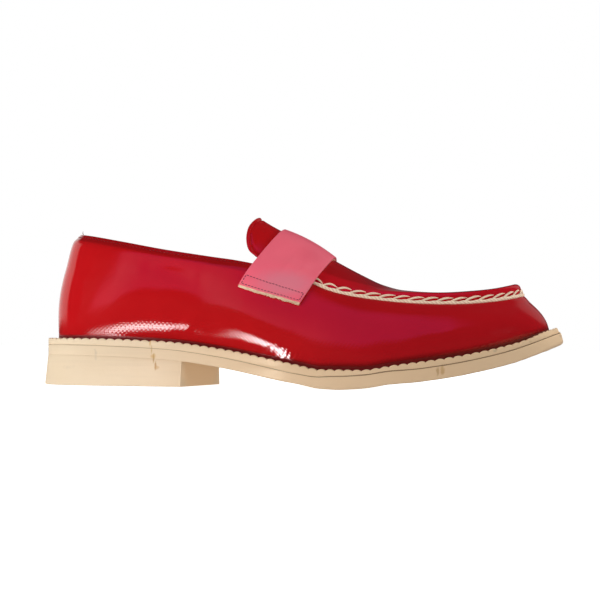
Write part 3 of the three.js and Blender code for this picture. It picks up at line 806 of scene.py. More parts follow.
weltShape = {
    "notches": 140, "perNotch": 12, "sharp": 50, "depth": 0.95, "nickCurve": 0.7, "groove": 0.2,
    "heelGroove": 0.35, "grooveReach": (-70, -30), "tipLift": 1.3, "tipReach": (126, 140), "leanBelow": 0.62,
    "leastRise": 0.15,
    # distance in from the edge as a share of the ledge, height as a share of the strip, share of the nick
    "profile": [
        (0.05, -0.05, 0), (0.04, 0.0, 0), (0.01, 0.03, 0), (0, 0.07, 0), (0, 0.4, 0), (0, 0.66, 0.1),
        (0.005, 0.84, 0.6), (0.03, 0.95, 1), (0.09, 0.99, 1), (0.2, 1.0, 1), (0.3, 0.97, 1), (0.4, 0.72, 0.1),
        (0.75, 0.7, 0), (1, 0.68, 0), (1, 0.0, 0), (0.05, -0.05, 0)],
}


def makeWelt():
    shape = weltShape
    count = shape["notches"] * shape["perNotch"]
    fine = np.linspace(0, 1, 4001)
    run = arcLengths(soleLoop(fine), 0)
    t = np.interp(np.linspace(0, run[-1], count + 1), run, fine)
    phase = (np.arange(count + 1) / shape["perNotch"]) % 1
    nickHere = 1 - np.sin(math.pi * phase) ** shape["nickCurve"]  # rounded teeth with nicks between them
    inset = trimLoop(t)[..., 0] - shoe["gap"]
    forward = smoothStep(soleLoop(t)[:, 0], *shape["grooveReach"])
    groove = shape["groove"] * startAt(shape["heelGroove"], forward)
    columns = []
    for offset, level, nick in shape["profile"]:
        lean = startAt(shape["leanBelow"], max(level, 0)) * (1 - offset)
        point = soleOffset(t, -inset * offset - toeLean(t, lean))
        x = point[:, 0]
        low = soleTop(x) + groove + lipRise(x)
        rise = weltTop(x) - low + shape["tipLift"] * smoothStep(x, *shape["tipReach"])
        top = rise - np.minimum(toeDrop(t, inset * offset), rise - shape["leastRise"])
        point[:, 2] = low + np.minimum(rise * level - shape["depth"] * nick * nickHere, top)
        columns.append(point)
    grid = np.stack(columns, 1)
    parcel = Parcel()
    parcel.addGrid(grid, ringUv(grid))
    parcel.build("welt_strip", [looks["creamWelt"]], shape["sharp"], "cream_welt", "welt")


makeOutsole()
makeHeel()
makeInsole()
makeWelt()
print("sole, heel, insole and welt built")


# Upper

# sizes in mm; darkFrom is the step of the turned edge from which it is darker
upperShape = {
    "spacing": 1.5, "fineSpacing": 0.36, "fineReach": (-32, -24, 24, 32), "lowRows": 28, "lowShare": 0.22,
    "highRows": 32, "insideRows": 20, "edgeSteps": 8, "darkFrom": 3, "sharp": 60, "wave": 0.1,
    "footFade": (0.3, 2), "topFade": 3, "seamDepth": 0.35, "seamWidth": 0.7,
    "collarReach": (-30, -5), "collarBulge": 1.0, "collarRoll": (5, 20), "collarLean": 0.9,
    "turnIn": 4.0, "turnSoft": 0.4, "liningStep": 0.5, "liningHeights": (8, 12),
}

# side, from x and height over the feather, to x and height, width, depth (ridges are below zero), all in mm
wallCreases = [
    (-1, -80, 39.5, -52, 36, 4.5, 0.8), (-1, -100, 30, -40, 36, 12, -0.15), (-1, -57, 1, -55, 17, 5, -0.4),
    (-1, -56, 0, -26, 0, 7, -0.5), (-1, 124, 20, 150, 15, 9, 0.8), (1, 124, 20, 150, 15, 9, 0.8),
    (-1, 86, 4, 92, 22, 6, -0.3), (-1, 55, 4, 62, 24, 9, 0.3),
    (1, -38, 6, -30, 14, 1.8, 0.5), (1, -28, 5, -18, 13, 1.8, 0.55), (1, -16, 4, -6, 11, 1.6, 0.45),
    (1, -2, 4, 8, 9, 1.5, 0.35), (1, -82, 40, -54, 37, 4.5, 0.6), (1, 70, 6, 92, 14, 2.2, 0.4),
]

# a fan of short creases low on the outer waist: each leans to the toe, and they shrink towards it
waistCreases = {
    "first": -15, "last": 25, "count": 15, "lean": 2.6, "low": 1.6, "high": 7.2, "shrink": 0.45,
    "spread": 0.5, "width": 0.55, "depth": 0.14,
}


def fanCreases():
    fan = waistCreases
    rng = np.random.default_rng(3)
    rows = []
    for share in np.linspace(0, 1, fan["count"]):
        x = fan["first"] + (fan["last"] - fan["first"]) * share + rng.normal(0, fan["spread"])
        high = fan["high"] * (1 - fan["shrink"] * share) + rng.normal(0, fan["spread"])
        depth = fan["depth"] * (0.6 + 0.8 * math.sin(math.pi * (0.15 + 0.75 * share))) * rng.uniform(0.7, 1.2)
        rows.append((-1, x, fan["low"], x + fan["lean"] * rng.uniform(0.8, 1.3), high, fan["width"], depth))
    return rows


wallCreases += fanCreases()


def wallStations():  # places round the wall, closer together at the outer waist
    fine = np.linspace(0, 1, 8001)
    line = soleLoop(fine)
    run = arcLengths(line, 0)
    near = hump(line[:, 0], *upperShape["fineReach"]) * (fine < 0.5)
    spacing = upperShape["spacing"] + (upperShape["fineSpacing"] - upperShape["spacing"]) * near
    count = np.concatenate([[0], np.cumsum(np.diff(run) / spacing[1:])])
    return np.interp(np.linspace(0, count[-1], int(count[-1])), count, fine)


def creaseDepth(x, height, side):
    total = np.zeros_like(x)
    for creaseSide, x0, h0, x1, h1, width, depth in wallCreases:
        dx, dh = x1 - x0, h1 - h0
        along = np.clip(((x - x0) * dx + (height - h0) * dh) / (dx * dx + dh * dh), 0, 1)
        distance = np.hypot(x - x0 - along * dx, height - h0 - along * dh)
        middle = startAt(0.35, np.sin(math.pi * np.clip(along, 0.08, 0.92)))
        total += np.where(side == creaseSide, depth * middle * dip(distance, 0, width), 0)
    return total


def wallGrid(t, rows, shorten):  # rows: shares of the way from the feather to the top edge
    foot = soleOffset(t, -trimLoop(t)[..., 0])
    top = topLoop(t)
    trim = trimLoop(t)
    seat = foot.copy()
    seat[:, 2] = soleTop(foot[:, 0]) + shoe["gap"]
    feather = foot.copy()
    feather[:, 2] = weltTop(foot[:, 0]) + shoe["featherRise"]
    chord = top - feather
    outward = outwardAt(soleLoop, t)
    swell = unit(outward - chord * (np.sum(outward * chord, -1) / np.sum(chord * chord, -1))[:, None])
    low = feather + chord / 3 + swell * trim[:, 1:2]
    high = feather + chord * 2 / 3 + swell * trim[:, 2:3]
    end = 1 - shorten / (3 * np.linalg.norm(top - high, axis=-1))
    u = (rows[None, :] * end[:, None])[..., None]
    wall = ((1 - u) ** 3 * feather[:, None] + 3 * u * (1 - u) ** 2 * low[:, None]
            + 3 * u * u * (1 - u) * high[:, None] + u ** 3 * top[:, None])
    return seat, wall


def wallDepth(wall, t, run):  # how far the wall's face lies in from its plain form, and where the collar is
    shape = upperShape
    x, height = wall[..., 0], wall[..., 2] - wall[:, :1, 2]
    fromBack = np.minimum(run, run[-1] - run)[:, None]
    side = np.where(t < 0.5, -1, 1)[:, None]
    depth = creaseDepth(x, height, np.broadcast_to(side, height.shape))
    depth += shape["wave"] * (np.sin(x * 0.11 + height * 0.07) + np.sin(x * 0.047 - height * 0.16 + 2))
    depth += shape["seamDepth"] * dip(fromBack, 0, shape["seamWidth"])
    total = np.maximum(height[:, -1:], 1)
    depth *= hump(height, *shape["footFade"], total - shape["topFade"], total)
    # the leather rolls in to the stitched edge of the collar
    near, far = shape["collarRoll"]
    below = total - height
    onCollar = 1 - smoothStep(wall[:, -1:, 0], *shape["collarReach"])
    depth -= shape["collarBulge"] * onCollar * hump(below, 0, near, near, far)
    depth += shape["collarLean"] * onCollar * (1 - smoothStep(below, 0, near))
    return depth, onCollar


def makeUpper():
    shape = upperShape
    t = wallStations()
    radius = shoe["wall"] / 2
    lowRows = np.linspace(0, shape["lowShare"], shape["lowRows"])
    rows = np.concatenate([lowRows, np.linspace(shape["lowShare"], 1, shape["highRows"] + 1)[1:]])
    seat, wall = wallGrid(t, rows, radius)
    normals = gridNormals(wall)
    run = arcLengths(wall[:, len(rows) // 2], 0)
    depth, onCollar = wallDepth(wall, t, run)
    outside = wall - normals * depth[..., None]
    # the top edge is turned over in a half round, and darker along its crest
    upDir = unit(outside[:, -1] - outside[:, -2])
    out = normals[:, -1]
    angle = np.linspace(0, math.pi, shape["edgeSteps"] + 1)[1:-1]
    middle = outside[:, -1] - out * radius
    edge = middle[:, None] + radius * (
        out[:, None] * np.cos(angle)[None, :, None] + upDir[:, None] * np.sin(angle)[None, :, None])
    # the leather is turned in over the lining
    back = wallGrid(t, np.linspace(1, 0, shape["insideRows"]) ** 1.3, radius)[1]
    below = back[:, :1, 2] - back[..., 2]
    lined = smoothStep(below, shape["turnIn"] - shape["turnSoft"], shape["turnIn"])
    lined = lined * smoothStep(back[..., 2] - seat[:, None, 2], *shape["liningHeights"])
    lean = shape["collarLean"] * onCollar * (1 - smoothStep(below, 0, shape["collarRoll"][0]))
    thick = shoe["wall"] + lean + shape["liningStep"] * lined
    inside = back - gridNormals(back[:, ::-1])[:, ::-1] * thick[..., None]
    innerSeat = seat - outwardAt(soleLoop, t) * shoe["wall"]
    ring = np.concatenate([seat[:, None], outside, edge, inside, innerSeat[:, None], seat[:, None]], 1)
    lift = arcLengths(ring, 1)
    uv = np.stack(np.broadcast_arrays(run[:, None], lift - lift[:, 1:2]), -1)
    face = np.zeros(ring.shape[1] - 1, int)
    firstEdge = outside.shape[1]
    firstInside = firstEdge + 1 + edge.shape[1]
    face[firstEdge + shape["darkFrom"]:firstInside] = 2
    face[firstInside + (below.mean(0) > shape["turnIn"]).argmax():] = 1
    parcel = Parcel()
    parcel.addGrid(ring, uv, face[None, :])
    materials = [looks[key] for key in ("redWall", "lining", "darkEdge")]
    piece = parcel.build("upper_wall", materials, shape["sharp"], "red_gloss", "upper")
    return piece, t, outside, normals


# Apron and tongue in one

# grooves have a distance from the edge, a width and a depth in mm; rows count along tongueRows and apronRows
apronShape = {
    "perRow": 14, "domeSteps": 26, "wallSteps": 5, "rimSteps": 6, "ledge": 0.8, "thickness": 2, "lean": 0.3,
    "rimRound": 1.8, "shoulder": 0.75, "toeShoulder": 0.35, "toeFacing": (0.5, 0.95), "corner": 0.15,
    "crown": 0.42, "sharp": 60, "tongueLine": (3.6, 0.6, 0.5), "tongueRoll": (1.7, 1.3, 0.4),
    "tongueEnd": (3.4, 4.2), "rimBead": (5.2, 1.1, 0.35), "beadRows": (5, 6, 8, 10), "plainMiddle": 6,
}


def apronLoops():
    outer, inner, plan = [], [], []
    for x, half, height, rise, spine in tongueRows:
        outer.append((x, -half, height))
        inner.append((x, half, height))
        plan.append((rise, spine, 0))
    for section, rise, spine in apronRows:
        for edge, t in ((outer, section / 30), (inner, 1 - section / 30)):
            point = topLoop(np.array([t]))[0] - outwardAt(topLoop, np.array([t]))[0] * apronShape["ledge"]
            edge.append(point + np.array([0, 0, shoe["gap"]]))
        plan.append((rise, spine, 0))
    plan = np.array(plan, float)
    return sideLoop(np.array(outer), np.array(inner)), sideLoop(plan, plan), len(plan)


edgeLoop, planLoop, planRows = apronLoops()


def apronGrid(t):
    shape = apronShape
    outward = outwardAt(edgeLoop, t)
    rise, spine = planLoop(np.minimum(t, 1 - t))[:, :2].T
    edge = edgeLoop(t)
    up = np.array([0, 0, 1.0])

    def rimPoint(inset, lift):
        return edge - outward * np.broadcast_to(inset, rise.shape)[:, None] + up * (rise * lift)[:, None]

    front = smoothStep(outward[..., 0], *shape["toeFacing"])  # rounder at the toe
    high = shape["shoulder"] - shape["toeShoulder"] * front
    shoulder = rimPoint(shape["lean"], high)
    rim = rimPoint(shape["rimRound"] * (1 + front), 1.0)
    corner = rimPoint(shape["lean"] + shape["corner"], 1.0)
    crest = np.stack([spine, ridgeSide(spine), ridgeHeight(spine)], -1)
    slope = (ridgeHeight(spine + 1) - ridgeHeight(spine - 1)) / 2
    pull = crest * (1 - shape["crown"]) + rim * shape["crown"]
    pull[:, 2] = crest[:, 2] + slope * (pull[:, 0] - crest[:, 0])
    columns = [rimPoint(shape["lean"] * v, high * v) for v in np.linspace(0, 1, shape["wallSteps"] + 1)[:-1]]
    columns += [bend(shoulder, corner, rim, v) for v in np.linspace(0, 1, shape["rimSteps"] + 1)[:-1]]
    columns += [bend(rim, pull, crest, v) for v in np.linspace(0, 1, shape["domeSteps"] + 1)]
    return np.stack(columns, 1), slope


def makeApron():
    shape = apronShape
    t = np.linspace(0, 1, 2 * (planRows - 1) * shape["perRow"] + 1)
    outside, slope = apronGrid(t)
    normals = gridNormals(outside)
    normals[:, -1] = unit(np.stack([-slope, np.zeros_like(slope), np.ones_like(slope)], -1))
    fromEdge = arcLengths(outside, 1)
    row = np.minimum(t, 1 - t) * 2 * (planRows - 1)

    def groove(at, width, depth):
        return dip(fromEdge, at, width) * depth

    # a narrow line round the end of the tongue, where its edge is turned under, and one along the rim
    onTongue = 1 - smoothStep(row, *shape["tongueEnd"])
    move = (groove(*shape["tongueLine"]) - groove(*shape["tongueRoll"])) * onTongue[:, None]
    move = move + groove(*shape["rimBead"]) * hump(row, *shape["beadRows"])[:, None]
    last = outside.shape[1] - 1
    fade = 1 - smoothStep(np.arange(last + 1), last + 1 - shape["plainMiddle"], last)
    sheet = outside - normals * (move * fade)[..., None]
    inside = (outside - normals * shape["thickness"])[:, ::-1][:, :shape["domeSteps"] + 1]
    ring = np.concatenate([inside, sheet], 1)
    side = np.where(t < 0.5, -1, 1)[:, None]
    uv = np.stack([ring[..., 0], side * arcLengths(ring[:, ::-1], 1)[:, ::-1]], -1)
    face = np.zeros(ring.shape[1] - 1, int)
    face[:inside.shape[1] - 1] = 1
    parcel = Parcel()
    parcel.addGrid(ring, uv, face[None, :])
    materials = [looks["redApron"], looks["lining"]]
    piece = parcel.build("apron_tongue", materials, shape["sharp"], "red_gloss", "apron")
    return piece, outside, normals, fromEdge


upperPiece, wallT, wallOutside, wallNormals = makeUpper()
apronPiece, apronOutside, apronNormals, apronFromEdge = makeApron()
print("upper and apron built")


# Hand-sewn seam: a cord on the wall's top edge, and a slanted stitch over each step of it

seamShape = {
    "pitch": 8.0, "startRow": 4.75, "cord": 1.05, "cordOut": 0.95, "cordDrop": 0.15, "cordWave": 0.12,
    "cordSwell": 0.1, "cordFlat": 0.9, "toeThin": 0.35, "toeSpan": 0.012, "stitch": 0.62, "stitchFlat": 0.85,
    "arch": 2.35, "foot": 0.35, "near": 0.93, "far": 0.62, "slantSteps": 6, "length": 1.02, "overlap": 0.26,
    "start": 0.03, "sunk": 0.55, "raised": 0.5, "jitter": 0.05,
}


def apronPoint(t, reach):  # points of the apron's face at distances up from its edge, with their normals
    last = len(apronOutside) - 1
    row = np.clip(t, 0, 1) * last
    i = np.clip(np.floor(row).astype(int), 0, last - 1)
    u = (row - i)[:, None]

    def reached(grid, rows):
        return np.array([pointsAt(grid[a], apronFromEdge[a], r) for r, a in zip(reach, rows)])

    spot, lean = (reached(grid, i) * (1 - u) + reached(grid, i + 1) * u
                  for grid in (apronOutside, apronNormals))
    return spot, unit(lean)


def makeSeam():
    shape = seamShape
    start = shape["startRow"] / (2 * (planRows - 1))
    fine = np.linspace(start, 1 - start, 3001)
    run = arcLengths(edgeLoop(fine), 0)
    steps = int(round(run[-1] / shape["pitch"]))
    pitch = run[-1] / steps
    parcel = Parcel()
    # the cord swells once a stitch, and is thinner at the toe and at both ends
    along = np.linspace(0, run[-1], steps * 12 + 1)
    t = np.interp(along, run, fine)
    phase = along / pitch
    outward = outwardAt(edgeLoop, t)
    path = edgeLoop(t) + outward * shape["cordOut"]
    path[:, 2] += -shape["cordDrop"] + shape["cordWave"] * np.cos(2 * math.pi * phase)
    radii = shape["cord"] * (1 + shape["cordSwell"] * np.cos(2 * math.pi * phase - 0.6))
    radii *= np.minimum(1, np.minimum(phase, steps - phase) * 2 + 0.4)
    radii *= 1 - shape["toeThin"] * dip(t, 0.5, shape["toeSpan"])
    parcel.addTube(path, radii, unit(outward + np.array([0, 0, 0.6])), 12, shape["cordFlat"])
    rng = np.random.default_rng(5)
    share = np.linspace(0, 1, 21)
    for k in range(steps):
        jitter = rng.normal(0, shape["jitter"], 3)
        # next to the strap a stitch comes down to the cord again; further on it ends high, over the next one
        slanted = smoothStep(min(k, steps - 1 - k), 0, shape["slantSteps"])
        close = shape["near"] + (shape["far"] - shape["near"]) * slanted
        first, way = (k + shape["start"], 1) if k <= steps / 2 else (k + 1 - shape["start"], -1)
        length = shape["length"] + shape["overlap"] * slanted
        along = np.clip((first + 0.4 * jitter[0] + way * share * length) * pitch, 0, run[-1])
        t = np.interp(along, run, fine)
        reach = shape["foot"] + shape["arch"] * (1 + jitter[1]) * np.sin(math.pi * close * share)
        spot, normal = apronPoint(t, reach)
        taper = startAt(0.2, np.sin(math.pi * (0.1 + 0.9 * share)) ** 0.8)
        radii = shape["stitch"] * taper * (1 + jitter[2])
        path = spot + normal * (shape["sunk"] * radii + shape["raised"] * (1 - share) ** 3)[:, None]
        parcel.addTube(path, radii, normal, 10, shape["stitchFlat"])
    return parcel.build("seam_cord", [looks["creamThread"]], None, "cream_welt")


seamPiece = makeSeam()
print("hand-sewn seam built")


# Strap

# slope in degrees, sizes in mm; the lines of the stitched box are distances from the strap's ends and sides
strapShape = {
    "slope": 28.5, "centre": -34.4, "halfWidth": 17, "flare": 1.2, "arm": 53.5, "slant": 3.5, "gap": 0.5,
    "thickness": 1.6, "backing": 0.55, "crown": 1.5, "crownReach": (0.1, 0.55), "reach": 60, "round": 0.45,
    "rows": 23, "columns": 91, "edgeRows": (0, 0.1, 0.3, 0.6, 1.2), "sharp": 40, "overhead": 130, "hang": 25,
    "linePoints": 400, "smoothings": 40, "rawLength": 1.9, "rawThick": 0.35, "rawShare": 0.985, "rawRows": 61,
    "frayed": 0.11, "wavy": 0.14, "stitchPitch": 1.9, "stitchRadius": 0.22, "upperLine": 5.9,
    "lowerLine": 0.95, "sideLine": 1.1, "drawnIn": 0.16, "drawnWidth": 0.9,
}


def carrierTree(pieces):
    points, faces = [], []
    for piece in pieces:
        base = len(points)
        points += [tuple(v.co) for v in piece.data.vertices]
        faces += [[base + i for i in p.vertices] for p in piece.data.polygons]
    return BVHTree.FromPolygons(points, faces)


def tautLine(profile):  # upper hull of a profile, so that the strap spans its hollows
    hull = []
    for point in profile:
        while len(hull) > 1:
            a, b = hull[-2], hull[-1]
            if (b[0] - a[0]) * (point[1] - a[1]) - (b[1] - a[1]) * (point[0] - a[0]) < 0:
                break
            hull.pop()
        hull.append(point)
    return np.array(hull)


def strapSheet(shares, distances):  # points under the strap and their normals: [across][along]
    shape = strapShape
    slope = math.radians(shape["slope"])
    widthWay = np.array([math.cos(slope), 0, -math.sin(slope)])
    liftWay = np.array([math.sin(slope), 0, math.cos(slope)])
    sideWay = np.array([0, 1, 0])
    tree = carrierTree([upperPiece, apronPiece, seamPiece])
    sampleY = np.arange(-shape["reach"], shape["reach"] + 0.1, 0.5)
    sheet, lean = [], []

    def acrossAt(share, y):  # the strap widens towards its ends
        return shape["centre"] + share * (shape["halfWidth"] + shape["flare"] * np.abs(y) / shape["reach"])

    def heightOver(share, y):  # of the shoe, seen along the strap's lift; None beside it
        eye = widthWay * acrossAt(share, y) + sideWay * y + liftWay * shape["overhead"]
        hit = tree.ray_cast(Vector(eye * mm), Vector(-liftWay))
        return None if hit[0] is None else shape["overhead"] - hit[3] / mm

    for share in shares:
        profile = [(y, heightOver(share, y)) for y in sampleY]
        profile = [(y, height) for y, height in profile if height is not None]
        for end, step in ((0, -0.25), (-1, 0.25)):  # to the wall's widest place
            for _ in range(6):
                y = profile[end][0] + step
                height = heightOver(share, y)
                if height is not None:
                    profile.insert(0 if end == 0 else len(profile), (y, height))
                step /= 2
        hull = tautLine(profile)
        # from there the strap hangs straight down
        hull = np.concatenate([[hull[0] - [0, shape["hang"]]], hull, [hull[-1] - [0, shape["hang"]]]])
        run = arcLengths(hull, 0)
        line = pointsAt(hull, run, np.linspace(0, run[-1], shape["linePoints"]))
        for _ in range(shape["smoothings"]):
            line[1:-1] = line[:-2] * 0.25 + line[1:-1] * 0.5 + line[2:] * 0.25
        run = arcLengths(line, 0)
        zero = np.interp(0, line[:, 0], run)
        flat = pointsAt(line, run, zero + distances * (shape["arm"] - share * shape["slant"] / 2))
        flow = np.gradient(flat, axis=0)
        normal = unit(np.stack([-flow[:, 1], flow[:, 0]], -1))
        y, height = flat[:, :1], flat[:, 1:]
        sheet.append(widthWay * acrossAt(share, y) + y * sideWay + liftWay * height)
        lean.append(normal[:, :1] * sideWay + liftWay * normal[:, 1:])
    return np.array(sheet), np.array(lean)


def edgeSpacing(count, near):  # evenly spaced from -1 to 1, with close rows at both ends
    inner = np.linspace(-1 + near[-1], 1 - near[-1], count)
    return np.concatenate([[-1 + n for n in near[:-1]], inner, [1 - n for n in near[:-1]][::-1]])


def addPlate(parcel, base, normals, low, high, look):
    top = base + normals * high[..., None]
    under = base + normals * low[..., None]
    uv = np.stack([arcLengths(base, 1), arcLengths(base, 0)], -1)
    parcel.addGrid(top, uv, look)
    parcel.addGrid(under, uv, look)
    for k in (0, -1):
        parcel.addGrid(np.stack([top[k], under[k]]), np.stack([uv[k], uv[k] + high[k].max()]), look)
        ends = np.stack([uv[:, k], uv[:, k] + high.max()])
        parcel.addGrid(np.stack([top[:, k], under[:, k]]), ends, look)


def makeStrap():
    shape = strapShape
    parcel = Parcel()
    shares = edgeSpacing(shape["rows"], [v / shape["halfWidth"] for v in shape["edgeRows"]])
    distances = edgeSpacing(shape["columns"], [v / shape["arm"] for v in shape["edgeRows"]])
    base, normals = strapSheet(shares, distances)
    sideAway = (1 - np.abs(shares))[:, None] * shape["halfWidth"]
    endAway = (1 - np.abs(distances))[None, :] * shape["arm"]
    bent = np.clip(1 - np.minimum(sideAway, endAway) / shape["round"], 0, 1)
    fall = shape["round"] * (1 - np.sqrt(np.clip(1 - bent ** 2, 0, 1)))
    # the thread draws the leather down along the stitched box
    for line in ("upperLine", "lowerLine"):
        fall = fall + shape["drawnIn"] * dip(endAway, shape[line], shape["drawnWidth"])
    # its middle stands up a little where it bends over the instep
    over = 1 - smoothStep(np.abs(distances), *shape["crownReach"])
    base = base + normals * (shape["crown"] * (1 - shares[:, None] ** 2) * over)[..., None]
    seam = shape["gap"] + shape["backing"]
    high = shape["gap"] + shape["thickness"] - fall
    addPlate(parcel, base, normals, np.full(base.shape[:2], seam), high, 0)
    # the pale backing shows past the cut ends, frayed and wavy
    past = 1 + 0.7 * shape["rawLength"] / shape["arm"]
    wide = np.concatenate([[-past, -1], distances[5:-5:6], [1, past]])
    rng = np.random.default_rng(8)
    count = shape["rawRows"]
    rawBase, rawNormals = strapSheet(np.linspace(-shape["rawShare"], shape["rawShare"], count), wide)
    for end, inside in ((0, 1), (-1, -2)):
        outward = unit(rawBase[:, end] - rawBase[:, inside])
        shift = rng.normal(0, shape["frayed"], count) + shape["wavy"] * np.sin(np.arange(count) * 0.45)
        rawBase[:, end] += outward * shift[:, None]
    rawLow = np.full(rawBase.shape[:2], shape["gap"] - 0.25)
    rawHigh = np.full(rawBase.shape[:2], seam) + shape["rawThick"] * (np.abs(wide) > 0.999)[None, :]
    addPlate(parcel, rawBase, rawNormals, rawLow, rawHigh, 1)
    materials = [looks["pinkLeather"], looks["rawEdge"]]
    parcel.build("strap_saddle", materials, shape["sharp"], "pink_strap", "strap")
    return shares, distances, base + normals * high[..., None], normals


strapShares, strapDistances, strapTop, strapNormals = makeStrap()


def strapPoint(share, distance):  # share of the half width, and distance from the ridge as a share of the arm
    i = np.interp(share, strapShares, np.arange(len(strapShares)))
    j = np.interp(distance, strapDistances, np.arange(len(strapDistances)))
    i0 = np.clip(np.floor(i).astype(int), 0, len(strapShares) - 2)
    j0 = np.clip(np.floor(j).astype(int), 0, len(strapDistances) - 2)
    u, v = (i - i0)[:, None], (j - j0)[:, None]

    def between(grid):
        near = grid[i0, j0] * (1 - u) + grid[i0 + 1, j0] * u
        far = grid[i0, j0 + 1] * (1 - u) + grid[i0 + 1, j0 + 1] * u
        return near * (1 - v) + far * v

    return between(strapTop), unit(between(strapNormals))


def sewLine(parcel, line, normals, pitch, radius):  # a row of small stitches along a line on a face
    run = arcLengths(line, 0)
    count = max(2, int(round(run[-1] / pitch)))
    share = np.linspace(0, 1, 7)
    bow = np.sin(math.pi * share)
    for k in range(count):
        at = (k + 0.12 + 0.76 * share) * run[-1] / count
        normal = unit(pointsAt(normals, run, at))
        path = pointsAt(line, run, at) + normal * radius * (bow - 0.6)[:, None]
        parcel.addTube(path, radius * startAt(0.55, bow), normal, 8)


def makeStrapStitches():
    shape = strapShape
    parcel = Parcel()
    inner = 1 - shape["sideLine"] / shape["halfWidth"]
    share = np.linspace(0, 1, 60)
    for end in (-1, 1):
        upper = end * (1 - shape["upperLine"] / shape["arm"])
        lower = end * (1 - shape["lowerLine"] / shape["arm"])
        corners = [(-inner, lower), (inner, lower), (inner, upper), (-inner, upper), (-inner, lower)]
        for (s0, d0), (s1, d1) in zip(corners[:-1], corners[1:]):
            line, normals = strapPoint(s0 + (s1 - s0) * share, d0 + (d1 - d0) * share)
            sewLine(parcel, line, normals, shape["stitchPitch"], shape["stitchRadius"])
    parcel.build("strap_stitches", [looks["darkThread"]], None, "pink_strap")


collarSeam = {
    "below": 1.3, "pitch": 2.1, "radius": 0.2, "frontX": -22, "endFoot": (1.2, 0, 0.6),
    "looseEnd": [(0, 0, 0), (-0.5, 0.2, 1.0), (-0.2, -0.1, 2.1)], "endRadii": (0.22, 0.2, 0.1),
}


def makeCollarSeam():  # red stitches under the collar's edge, from the back to each end of the strap
    parcel = Parcel()
    rows = []
    for row, normals in zip(wallOutside, wallNormals):
        run = arcLengths(row, 0)
        rows.append(pointsAt(np.concatenate([row, normals], 1), run, run[-1] - collarSeam["below"]))
    rows = np.array(rows)
    for half in (rows[wallT < 0.5], rows[wallT >= 0.5][::-1]):
        kept = half[half[:, 0] < collarSeam["frontX"]]
        sewLine(parcel, kept[:, :3], kept[:, 3:], collarSeam["pitch"], collarSeam["radius"])
    # a thread end stands up at the back
    path = wallOutside[0, -1] + np.array(collarSeam["endFoot"]) + np.array(collarSeam["looseEnd"])
    parcel.addTube(path, np.array(collarSeam["endRadii"]), np.array([[0, 1.0, 0]] * len(path)), 6)
    parcel.build("collar_stitches", [looks["redThread"]], None, "red_gloss")


makeStrapStitches()
makeCollarSeam()
print("strap and stitches built")


# Stage: the camera keeps the photograph's angle

# degrees and mm
view = {"yaw": 9.0, "lift": -2.0, "roll": 0.6, "far": 800.0, "target": (0, 0, 50.0), "lens": 83.31}


def makeCamera():
    yaw, lift, roll = (math.radians(view[key]) for key in ("yaw", "lift", "roll"))
    right = Vector((math.cos(yaw), math.sin(yaw), 0))
    ahead = Vector((-math.sin(yaw) * math.cos(lift), math.cos(yaw) * math.cos(lift), -math.sin(lift)))
    up = right.cross(ahead)
    eye = (Vector(view["target"]) - view["far"] * ahead) * mm
    turnedRight = right * math.cos(roll) + up * math.sin(roll)
    turnedUp = up * math.cos(roll) - right * math.sin(roll)
    data = bpy.data.cameras.new("camera")
    data.lens = view["lens"]
    data.sensor_width = 36
    data.clip_start, data.clip_end = 0.05, 50
    camera = addObject("camera", data)
    turn = Matrix((turnedRight, turnedUp, -ahead)).transposed().to_4x4()
    camera.matrix_world = Matrix.Translation(eye) @ turn
    bpy.context.scene.camera = camera


# metres; the shoe itself sees a darker floor than the camera, most of all in its gloss
floorLook = {
    "colour": (0.8, 0.8, 0.8), "roughness": 0.9, "size": 60.0, "nearGlow": 0.92, "farGlow": 1.0,
    "glowReach": (0.2, 0.7), "bounce": (1, 0.97, 0.95), "onHeel": 0.92, "onToe": 0.45,
    "shoeReach": (-0.15, 0.12), "inGloss": 0.05,
}


def makeFloor():
    look = floorLook
    half = look["size"]
    mesh = bpy.data.meshes.new("floor")
    corners = [(-half, -half, 0), (half, -half, 0), (half, half, 0), (-half, half, 0)]
    mesh.from_pydata(corners, [], [(0, 1, 2, 3)])
    material, tree, shader = newMaterial("paleFloor", look["colour"], look["roughness"],
                                         Specular_IOR_Level=0.0, Emission_Strength=1.0)
    # the floor glows white like the wall behind it, a little less round the shoe so that its shadow shows
    here = shoePlace(tree)
    distance = vectorNode(tree, "LENGTH", here)
    glow = rampNode(tree, distance, *look["glowReach"], look["nearGlow"], look["farGlow"])
    tree.links.new(glow, shader.inputs["Emission Color"])
    rays = addNode(tree, "ShaderNodeLightPath").outputs
    onShoe = rampNode(tree, splitPlace(tree, here)[0], *look["shoeReach"], look["onHeel"], look["onToe"])
    bounce, gloss = (addNode(tree, "ShaderNodeEmission", {"Color": look["bounce"], "Strength": strength})
                     for strength in (onShoe, look["inGloss"]))
    unseen = mixShader(tree, rays["Is Glossy Ray"], bounce, gloss)
    mix = mixShader(tree, rays["Is Camera Ray"], unseen, shader)
    tree.links.new(mix.outputs[0], tree.nodes["Material Output"].inputs[0])
    mesh.materials.append(material)
    floor = addObject("floor", mesh)


# soft lamps light the body and don't show in the gloss; metres and watts
lamps = {
    "keyLeft": {"spot": (-0.6, -0.6, 0.15), "aim": (-0.08, 0, 0.04), "size": (0.5, 0.4), "power": 4.8},
    "frontFill": {"spot": (0.5, -1.6, 0.4), "aim": (0, 0, 0.05), "size": (1.6, 0.8), "power": 1.2},
    "topRight": {"spot": (0.5, 0.25, 0.8), "aim": (0, 0, 0.06), "size": (0.6, 0.5), "power": 4.9},
    "toeFill": {"spot": (0.9, -0.28, 0.12), "aim": (0.1, 0, 0.04), "size": (0.4, 0.3), "power": 2.8},
}


